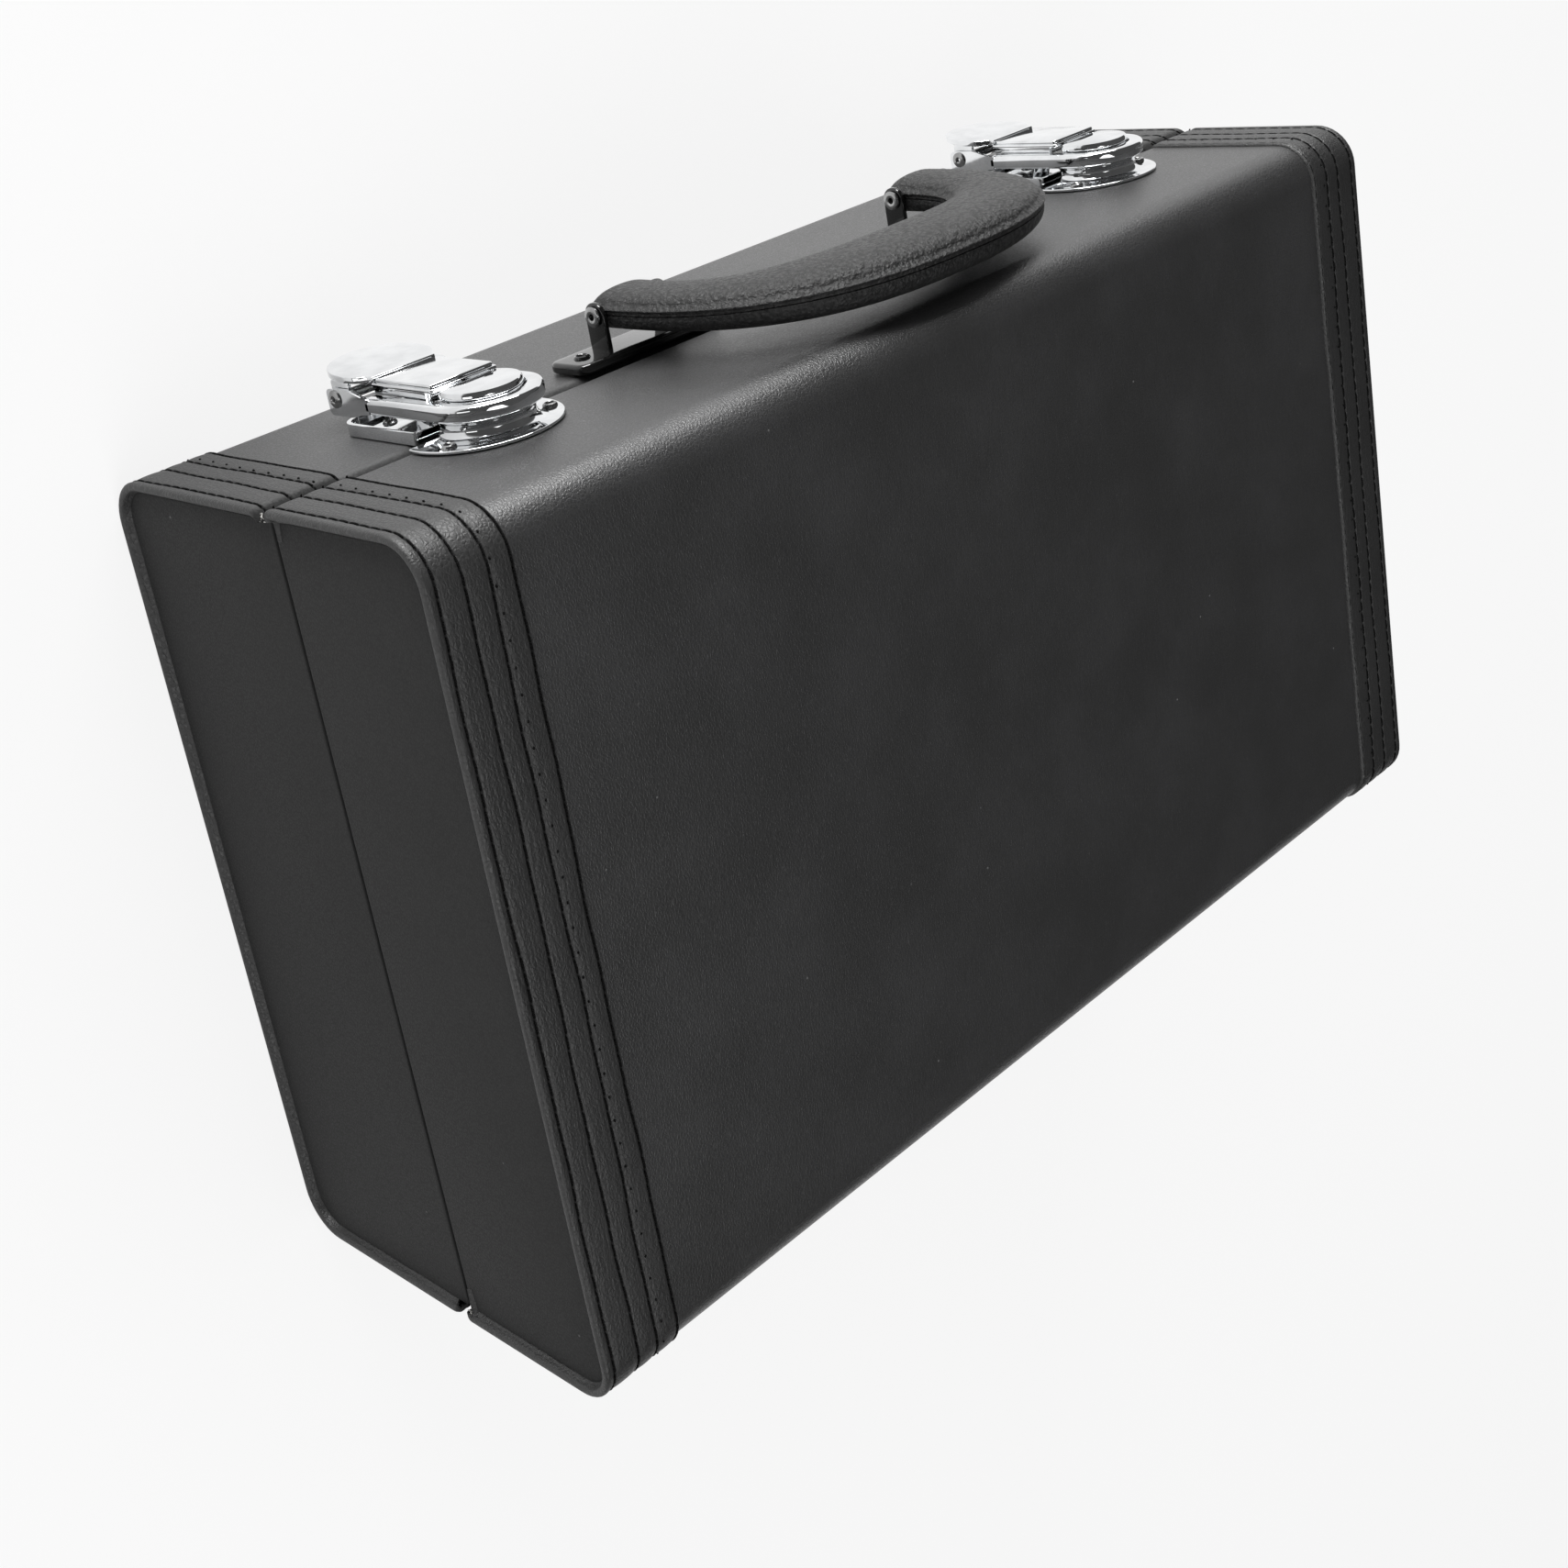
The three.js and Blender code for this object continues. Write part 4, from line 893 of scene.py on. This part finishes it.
back_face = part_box("base_cover")[1].y
for side in ("left", "right"):
    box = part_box("hinge_pin_" + side)
    centre = (box[0] + box[1]) / 2
    seat = Matrix.Translation((centre.x, back_face, base_depth * mm)) @ back_turn @ to_metres
    over = Matrix.Rotation(math.pi, 4, "Z")
    for body, odd, turn in (("base", True, Matrix()), ("lid", False, over)):
        node = "hinge_" + body + "_leaf_" + side
        finished(node + "_plate", leaf(odd), seat @ turn, body, nickel, [node])
    node = "hinge_pin_" + side
    reach = hinge_half_width + hinge_pin_past
    shank = reach - hinge_pin_head_rise
    profile = (
        (0, -reach),
        (hinge_pin_head, -reach),
        (hinge_pin_head, -shank),
        (hinge_pin_radius, -shank),
        (hinge_pin_radius, shank),
        (hinge_pin_head, shank),
        (hinge_pin_head, reach),
        (0, reach),
    )
    pin = turned(profile, leaf_soft, 32)
    finished(node + "_rod", pin, seat @ knuckle_seat, "base", nickel, [node])


# Latches. Two chromed draw latches of pressed sheet on the front. The keeper on the lid is a
# plate with a waisted drum. The pan on the base holds the lever's pin between two ears, and
# the lever carries the horseshoe link, which hooks over the drum.
front_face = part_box("base_cover")[0].y
front_turn = Matrix(((1, 0, 0, 0), (0, 0, -1, 0), (0, 1, 0, 0), (0, 0, 0, 1)))
sheet = 0.8
gauge = 1
keeper_radius = 20
keeper_rise = 4
keeper_low = 0.6
keeper_rivet_at = (15.5, 11, 1.3)
latch_rivet_radius = 1.9
drum_rise = 6.5
drum_low = 2.7
pan_half_width = 15.7
pan_low = -33
pan_high = -1.5
pan_corner = 5.5
pan_height = 3.3
pan_wall = 1.1
pan_ear_flats = (-8.8, 7.6)
pan_ear_sheet = 1.2
pan_ear_radius = 2.3
pan_ear_lean = math.radians(20)
pan_ear_foot = 0.7
pan_rivet_at = (6.5, -24.4, 1.3)
lever_pin_at = (0, -4.5, 9.8)
# A pin's half length, its radius, and the radius and rise of its heads
lever_pin = (10.3, 1.1, 1.1, 0)
link_pin_at = (0, -33, 9.1)
pad_half_width = 9.7
pad_back = -22.5
pad_front = 0.3
pad_top = 13.4
pad_sheet = 1.2
ledge_top = 12.4
ledge_margin = 0.6
lever_wall_low = 6.9
tongue_half_width = 13.3
tongue_end = -45.7
tongue_slope = 0.08
tongue_top = 13.8
tongue_sheet = 1.6
link_outer = 14.8
link_inner = 10.9
link_top = 10.0
link_low = 6.0
link_sheet = 1.2
link_pin = (link_outer, 1.4, 2.3, 0.7)
arm_end = -21
ear_start = -27
ear_end = -36.4
ear_high = 11.6
ear_low = 4.8
keeper_soft = 0.3
drum_soft = 0.2
pan_soft = 0.45
pan_ear_soft = 0.25
pad_soft = 0.45
ledge_soft = 0.3
tongue_soft = 0.4
wall_soft = 0.25
eye_soft = 0.2
link_soft = 0.25
ear_soft = 0.3
chrome = plated("chrome_plate", (0.72, 0.73, 0.74), (0.86, 0.87, 0.88), 0.05, 0.012)
rivet_metal = plated("rivet_steel", (0.3, 0.3, 0.3), (0.42, 0.42, 0.42), 0.18, 0.02)


def standing(corners, low, thickness, soft, segments=3):
    """A plate drawn in its own two axes, which then run along the second and third axis."""
    return placed(slab(corners, low, low + thickness, soft, segments), side_on)


def front(x):
    """Places what is drawn in millimetres along the case, up from the seam, and out."""
    return Matrix.Translation((x, front_face, base_depth * mm)) @ front_turn @ to_metres


def cut_below(mesh, v):
    """Cuts away what lies below a place."""
    everything = mesh.verts[:] + mesh.edges[:] + mesh.faces[:]
    bmesh.ops.bisect_plane(
        mesh, geom=everything, plane_co=(0, v, 0), plane_no=(0, -1, 0), clear_outer=True
    )


def closed(mesh):
    """Fills the open rims of a mesh."""
    rims = [e for e in mesh.edges if len(e.link_faces) == 1]
    bmesh.ops.holes_fill(mesh, edges=rims, sides=0)
    return mesh


def keeper():
    """A round plate, cut off straight at the seam, and a drum with a waist, a lip and a boss."""
    plate = bmesh.new()
    middle = Matrix.Translation((0, keeper_rise, running_gap))
    bmesh.ops.create_circle(plate, cap_ends=True, radius=keeper_radius, segments=96, matrix=middle)
    cut_below(plate, keeper_low)
    thicken(plate, sheet)
    softened(plate, keeper_soft, 4)
    drum_profile = (
        (14.5, 0.6),
        (14.5, 1.1),
        (13.5, 1.3),
        (12.6, 1.9),
        (12.1, 2.8),
        (12, 3.8),
        (12.2, 4.8),
        (12.7, 5.3),
        (13, 5.7),
        (13, 7.5),
        (12.8, 8.0),
        (12.3, 8.2),
        (10.4, 8.2),
        (9.9, 8.5),
        (9.8, 9),
        (10.2, 10),
        (10.2, 11.4),
        (9.9, 11.9),
        (9.3, 12.1),
        (0, 12.1),
    )
    drum = turned(drum_profile, steps=96)
    cut_below(drum, drum_low - drum_rise)
    softened(closed(drum), drum_soft, 3, least_angle=1.0)
    return joined(plate, placed(drum, Matrix.Translation((0, drum_rise, 0))))


def pan():
    """A tray with a rolled rim, and two ears that lean to the seam."""
    corners = oblong(-pan_half_width, pan_half_width, pan_low, pan_high, pan_corner, gauge)
    tray = slab(corners, running_gap, pan_height, 0)
    top = [max(tray.faces, key=lambda f: f.calc_center_median().z)]
    bmesh.ops.inset_region(tray, faces=top, thickness=pan_wall, use_even_offset=True)
    floor_face = bmesh.ops.extrude_discrete_faces(tray, faces=top)["faces"][0]
    sunk = pan_height - running_gap - sheet
    bmesh.ops.translate(tray, vec=(0, 0, -sunk), verts=floor_face.verts[:])
    softened(tray, pan_soft, 4)
    parts = [tray]
    pin_v, pin_h = lever_pin_at[1:]
    tip_v = pin_v - pan_ear_radius
    tip_h = pin_h + pan_ear_radius
    lean_sine = math.sin(pan_ear_lean)
    lean_cosine = math.cos(pan_ear_lean)
    slope_length = (pin_h - pan_ear_radius * lean_sine - pan_ear_foot) / lean_cosine
    foot_v = pin_v + pan_ear_radius * lean_cosine - slope_length * lean_sine
    ear = (
        (pin_v + pan_ear_radius, tip_h, pan_ear_radius),
        (foot_v, pan_ear_foot, 0),
        (tip_v - 4, pan_ear_foot, 0),
        (tip_v, tip_h, pan_ear_radius),
    )
    for u in pan_ear_flats:
        parts.append(standing(ear, u, pan_ear_sheet, pan_ear_soft))
    return joined(*parts)


def lever():
    """A flat pad on a wider ledge, a round tongue for the thumb, and walls down to the pins."""
    edge = pad_half_width + ledge_margin
    pad = oblong(-pad_half_width, pad_half_width, pad_back, pad_front, gauge, gauge)
    ledge = oblong(-edge, edge, pad_back - gauge, pad_front + ledge_margin, gauge, gauge)
    neck = pad_back - 0.4
    tongue_corners = (
        (-pad_half_width, neck, 0),
        (-pad_half_width, neck - 1.4, 1.2),
        (-tongue_half_width, neck - 5, 2.5),
        (-tongue_half_width, tongue_end, tongue_half_width - 0.1),
        (tongue_half_width, tongue_end, tongue_half_width - 0.1),
        (tongue_half_width, neck - 5, 2.5),
        (pad_half_width, neck - 1.4, 1.2),
        (pad_half_width, neck, 0),
    )
    tongue = slab(tongue_corners, tongue_top - tongue_sheet, tongue_top, tongue_soft, 4)
    for vert in tongue.verts:
        vert.co.z += max(neck - vert.co.y, 0) * tongue_slope
    parts = [
        slab(pad, pad_top - pad_sheet, pad_top, pad_soft, 4),
        slab(ledge, ledge_top - gauge, ledge_top, ledge_soft, 3),
        tongue,
    ]
    pin_v, pin_h = lever_pin_at[1:]
    wall = (
        (-1.6, lever_wall_low, 2.5),
        (-1.6, ledge_top - 0.5, 0.5),
        (pad_back, ledge_top - 0.5, 0.5),
        (pad_back, pin_h, 1),
        (pin_v - 4.5, pin_h, 2),
        (pin_v - 2.9, lever_wall_low, 2.5),
    )
    pin_v, pin_h = link_pin_at[1:]
    eye = (
        (pin_v + 4.3, ledge_top + 0.4, 0),
        (pin_v + 4.3, pin_h + 0.9, 1),
        (pin_v + 2, pin_h - 2.9, 2),
        (pin_v - 2.9, pin_h - 2.9, 2.8),
        (pin_v - 2.9, ledge_top + 1.2, 1),
    )
    for side in (-1, 1):
        low = side * (edge - gauge / 2) - gauge / 2
        parts.append(standing(wall, low, gauge, wall_soft))
        low = side * (tongue_half_width - gauge / 2) - gauge / 2
        parts.append(standing(eye, low, gauge, eye_soft))
    return joined(*parts)


def link():
    """A rolled edge and a flat face bent round the drum, with straight arms and two ears."""
    section = (
        (link_inner, link_top),
        (13.6, link_top),
        (14.4, 9.75),
        (link_outer, 9.1),
        (link_outer, 7.0),
        (14.6, 6.3),
        (14.1, link_low),
        (13.6, 6.3),
        (13.6, link_top - link_sheet),
        (link_inner, link_top - link_sheet),
    )
    bend = bmesh.new()
    verts = [bend.verts.new((radius, 0, height)) for radius, height in section]
    edges = [bend.edges.new((a, b)) for a, b in zip(verts, verts[1:] + verts[:1])]
    turned_part = bmesh.ops.spin(
        bend, geom=verts + edges, cent=(0, 0, 0), axis=(0, 0, 1), angle=math.pi, steps=64
    )["geom_last"]
    last = [e for e in turned_part if isinstance(e, bmesh.types.BMEdge)]
    for ends in (edges, last):
        draw_out(bend, ends, (0, arm_end - drum_rise, 0))
    closed(bend)
    bmesh.ops.recalc_face_normals(bend, faces=bend.faces)
    softened(bend, link_soft, 3)
    parts = [placed(bend, Matrix.Translation((0, drum_rise, 0)))]
    ear = (
        (arm_end + 1.2, link_low, 0.4),
        (arm_end - 1.2, link_low, 2),
        (ear_start, ear_low, 0.6),
        (ear_end, ear_low, 1.5),
        (ear_end, ear_high, 1.5),
        (ear_start, ear_high, 0.6),
        (arm_end - 1.2, link_top, 2),
        (arm_end + 1.2, link_top, 0.4),
    )
    for side in (-1, 1):
        low = side * (link_outer - link_sheet / 2) - link_sheet / 2
        parts.append(standing(ear, low, link_sheet, ear_soft))
    return joined(*parts)


def tube_rivet(radius, rise):
    """A rolled rivet's head with a dimple."""
    profile = (
        (0, -0.1),
        (0.45 * radius, -0.1),
        (0.55 * radius, 0.6 * rise),
        (0.7 * radius, rise),
        (0.9 * radius, 0.7 * rise),
        (radius, 0),
        (radius, -0.3),
    )
    return turned(profile, steps=32)


def cross_pin(half_length, radius, head_radius, head_rise):
    """A tube rivet across two ears: a plain shank with a rolled, dimpled head at each end."""
    end = half_length + head_rise
    profile = (
        (0, half_length - 1),
        (0.45 * radius, half_length - 0.8),
        (0.5 * radius, end - 0.2),
        (0.7 * radius, end),
        (head_radius - 0.4, end - 0.1),
        (head_radius, end - 0.4),
        (head_radius, half_length),
        (radius, half_length),
        (radius, 0),
    )
    lower = [(r, -h) for r, h in reversed(profile[:-1])]
    return placed(turned(list(profile) + lower, steps=32), across_bar)


for side in ("left", "right"):
    low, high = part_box("latch_pan_" + side)
    at = front((low.x + high.x) / 2)
    plates = (
        ("keeper_plate_", keeper(), "lid", "keeper_"),
        ("pan_tray_", pan(), "base", "latch_pan_"),
        ("lever_plate_", lever(), "lever_" + side, "latch_lever_"),
        ("link_hook_", link(), "link_" + side, "latch_link_"),
    )
    for name, plate, body, node in plates:
        finished(name + side, plate, at, body, chrome, [node + side])
    pins = (
        ("lever_rod_", lever_pin, lever_pin_at, "base", "lever_pin_"),
        ("link_rod_", link_pin, link_pin_at, "link_" + side, "link_pin_"),
    )
    for name, sizes, pin_at, body, node in pins:
        rod = cross_pin(*sizes)
        seat = at @ Matrix.Translation(pin_at)
        finished(name + side, rod, seat, body, rivet_metal, [node + side])
    for end, way in (("a", -1), ("b", 1)):
        for body, (u, v, h) in (("lid", keeper_rivet_at), ("base", pan_rivet_at)):
            node = ("keeper" if body == "lid" else "pan") + "_rivet_" + side + "_" + end
            seat = at @ Matrix.Translation((way * u, v, h))
            head = tube_rivet(latch_rivet_radius, rivet_rise)
            finished(node + "_head", head, seat, body, rivet_metal, [node])


# Handle. Two pressed brackets in gloss black lacquer are riveted under the seam, each with two
# ears and a tube rivet. The grip that turns on them is moulded in two pebbled plastic halves,
# which meet in a line beside a raised bead.
bracket_centre = 58.5
bracket_half_length = 24.5
bracket_low = -15
bracket_high = -0.8
bracket_top = 3.2
bracket_corner = 3
bracket_soft = 1.1
bracket_rivet_at = (18.5, -7.9, 3.3)
bracket_rivet_radius = 2.2
bracket_ear_out = 11
bracket_ear_sheet = 1.5
bracket_ear_half = 3.5
bracket_ear_soft = 0.4
handle_pin_at = (-9, 11.8)
handle_pin = (12.05, 1.8, 2.7, 0.8)
hub_centre = 58
hub_height = 5.2
hub_end = 4.4
hub_half_width = 9.95
grip_reach = 50
grip_half_width = 15
grip_half_thickness = 7
grip_lean = 0.5
curve_power = 2 / 2.65
section_power = 2 / 2.5
parting_half = 0.14
bead_height = 1.4
bead_rise = 0.75
bead_half_width = 0.55
furrow_height = 2.75
furrow_depth = 0.2
hub_rows = 10
bow_rows = 128
section_columns = 56
ahead_share = 0.004
crowding_share = 0.12
lacquer_black, lacquer_shader, lacquer_place = surface(
    "black_lacquer", 0.1, Coat_Weight=0.5, Coat_Roughness=0.05
)
speck = noise(lacquer_place, 0.5, 4)
mixed(speck, (0.002, 0.002, 0.002), (0.007, 0.007, 0.007)).feed(lacquer_shader, "Base Color")
(0.08 + speck.ramp(0.4, 0.8) * 0.12).feed(lacquer_shader, "Roughness")
bumps(speck, lacquer_shader, 0.03)
plastic, plastic_shader, plastic_place = surface("pebbled_plastic", 0.42, Specular_IOR_Level=0.5)
cells = {"Vector": plastic_place, "Scale": 0.95}
lumps = plastic_place.node("TexVoronoi", {"feature": "SMOOTH_F1"}, cells)
pores = noise(plastic_place, 2.2, 3)
pebbles = (1 - lumps) * 0.8 + pores * 0.6
raised = pebbles.ramp(0.5, 1.1)
mixed(raised, (0.004, 0.004, 0.004), (0.02, 0.02, 0.02)).feed(plastic_shader, "Base Color")
(0.58 - raised * 0.2).feed(plastic_shader, "Roughness")
bumps(pebbles, plastic_shader, 0.6)


def bracket(side):
    """A pressed channel with rounded edges, and two ears for the pin."""
    a = side * bracket_centre - bracket_half_length
    b = side * bracket_centre + bracket_half_length
    corners = oblong(a, b, bracket_low, bracket_high, bracket_corner, bracket_corner)
    parts = [slab(corners, running_gap, bracket_top, bracket_soft, 6)]
    v, h = handle_pin_at
    half = bracket_ear_half
    foot = bracket_top - sheet
    ear = (
        (v + half, h + half, half - 0.1),
        (v - half, h + half, half - 0.1),
        (v - half, foot, 0),
        (v + half, foot, 0),
    )
    for way in (-1, 1):
        low = side * hub_centre + way * bracket_ear_out - bracket_ear_sheet / 2
        parts.append(standing(ear, low, bracket_ear_sheet, bracket_ear_soft, 4))
    return joined(*parts)


def middle_line(share):
    """Middle of the grip at a share of its length: a squarish half oval from hub to hub."""
    angle = math.pi * share
    c = math.cos(angle)
    s = max(math.sin(angle), 0)
    along = math.copysign(abs(c) ** curve_power, c) * hub_centre
    return Vector((along, grip_reach * s**curve_power, 0))


def grip_rows():
    """Middle, direction, half width and half thickness of each cross-section."""
    ends = []
    for side in (1, -1):
        way = Vector((0, side, 0))
        hub = []
        for k in range(hub_rows):
            turn = math.pi / 2 * (1 - k / hub_rows)
            thick = max(hub_height * math.cos(turn) ** section_power, 0.05)
            reach = -hub_end * math.sin(turn) ** section_power
            hub.append((Vector((side * hub_centre, reach, 0)), way, hub_half_width, thick))
        ends.append(hub[::side])
    rows = ends[0]
    for k in range(bow_rows + 1):
        share = 0.5 - 0.5 * math.cos(math.pi * k / bow_rows)
        ahead = middle_line(min(share + ahead_share, 1))
        way = (ahead - middle_line(max(share - ahead_share, 0))).normalized()
        if k in (0, bow_rows):
            way = Vector((0, 1 if k == 0 else -1, 0))
        swell = math.sin(math.pi * share) ** 2
        width = hub_half_width + (grip_half_width - hub_half_width) * swell
        thick = hub_height + (grip_half_thickness - hub_height) * swell
        rows.append((middle_line(share), way, width, thick))
    return rows + ends[1]


def grip_half(up):
    """The section swept along the grip, with a bead and a furrow beside the upper half's rim."""
    rows = grip_rows()
    last = len(rows) - 1
    mesh = bmesh.new()
    bmesh.ops.create_grid(mesh, x_segments=last, y_segments=section_columns, size=1)
    for vert in mesh.verts:
        middle, way, width, thick = rows[round((vert.co.x + 1) / 2 * last)]
        share = (vert.co.y + 1) / 2
        # The points crowd together at the rims, where the bead is
        angle = math.pi * (share - crowding_share * math.sin(2 * math.pi * share))
        c = math.cos(angle)
        s = abs(math.sin(angle))
        rise = 0 if s < 1e-6 else thick * s**section_power
        bead = 0
        if up > 0:
            bead = bead_rise * math.exp(-(((rise - bead_height) / bead_half_width) ** 2))
            bead -= furrow_depth * math.exp(-(((rise - furrow_height) / bead_half_width) ** 2))
        beside = math.copysign(abs(c) ** section_power * width + bead * min(thick / hub_height, 1), c)
        across = Vector((way.y, -way.x, 0))
        vert.co = middle + across * beside
        vert.co.z = up * (rise + parting_half)
    return closed(mesh)


lean = Matrix.Rotation(math.radians(-grip_lean), 4, "X")
grip_place = front(0) @ Matrix.Translation((0, *handle_pin_at)) @ lean
for side, way in (("left", -1), ("right", 1)):
    u, v, h = bracket_rivet_at
    node = "handle_bracket_" + side
    finished(node + "_press", bracket(way), front(0), "base", lacquer_black, [node])
    node = "handle_pin_" + side
    seat = front(way * hub_centre * mm) @ Matrix.Translation((0, *handle_pin_at))
    rod = cross_pin(*handle_pin)
    finished(node + "_tube", rod, seat, "base", rivet_metal, [node])
    for end, along in (("a", -1), ("b", 1)):
        node = "bracket_rivet_" + side + "_" + end
        seat = front((way * bracket_centre + along * u) * mm) @ Matrix.Translation((0, v, h))
        head = tube_rivet(bracket_rivet_radius, rivet_rise)
        finished(node + "_head", head, seat, "base", lacquer_black, [node])
for shell, up in (("upper", 1), ("lower", -1)):
    node = "handle_" + shell + "_shell"
    half = grip_half(up)
    finished("grip_" + shell + "_half", half, grip_place, "handle", plastic, [node])
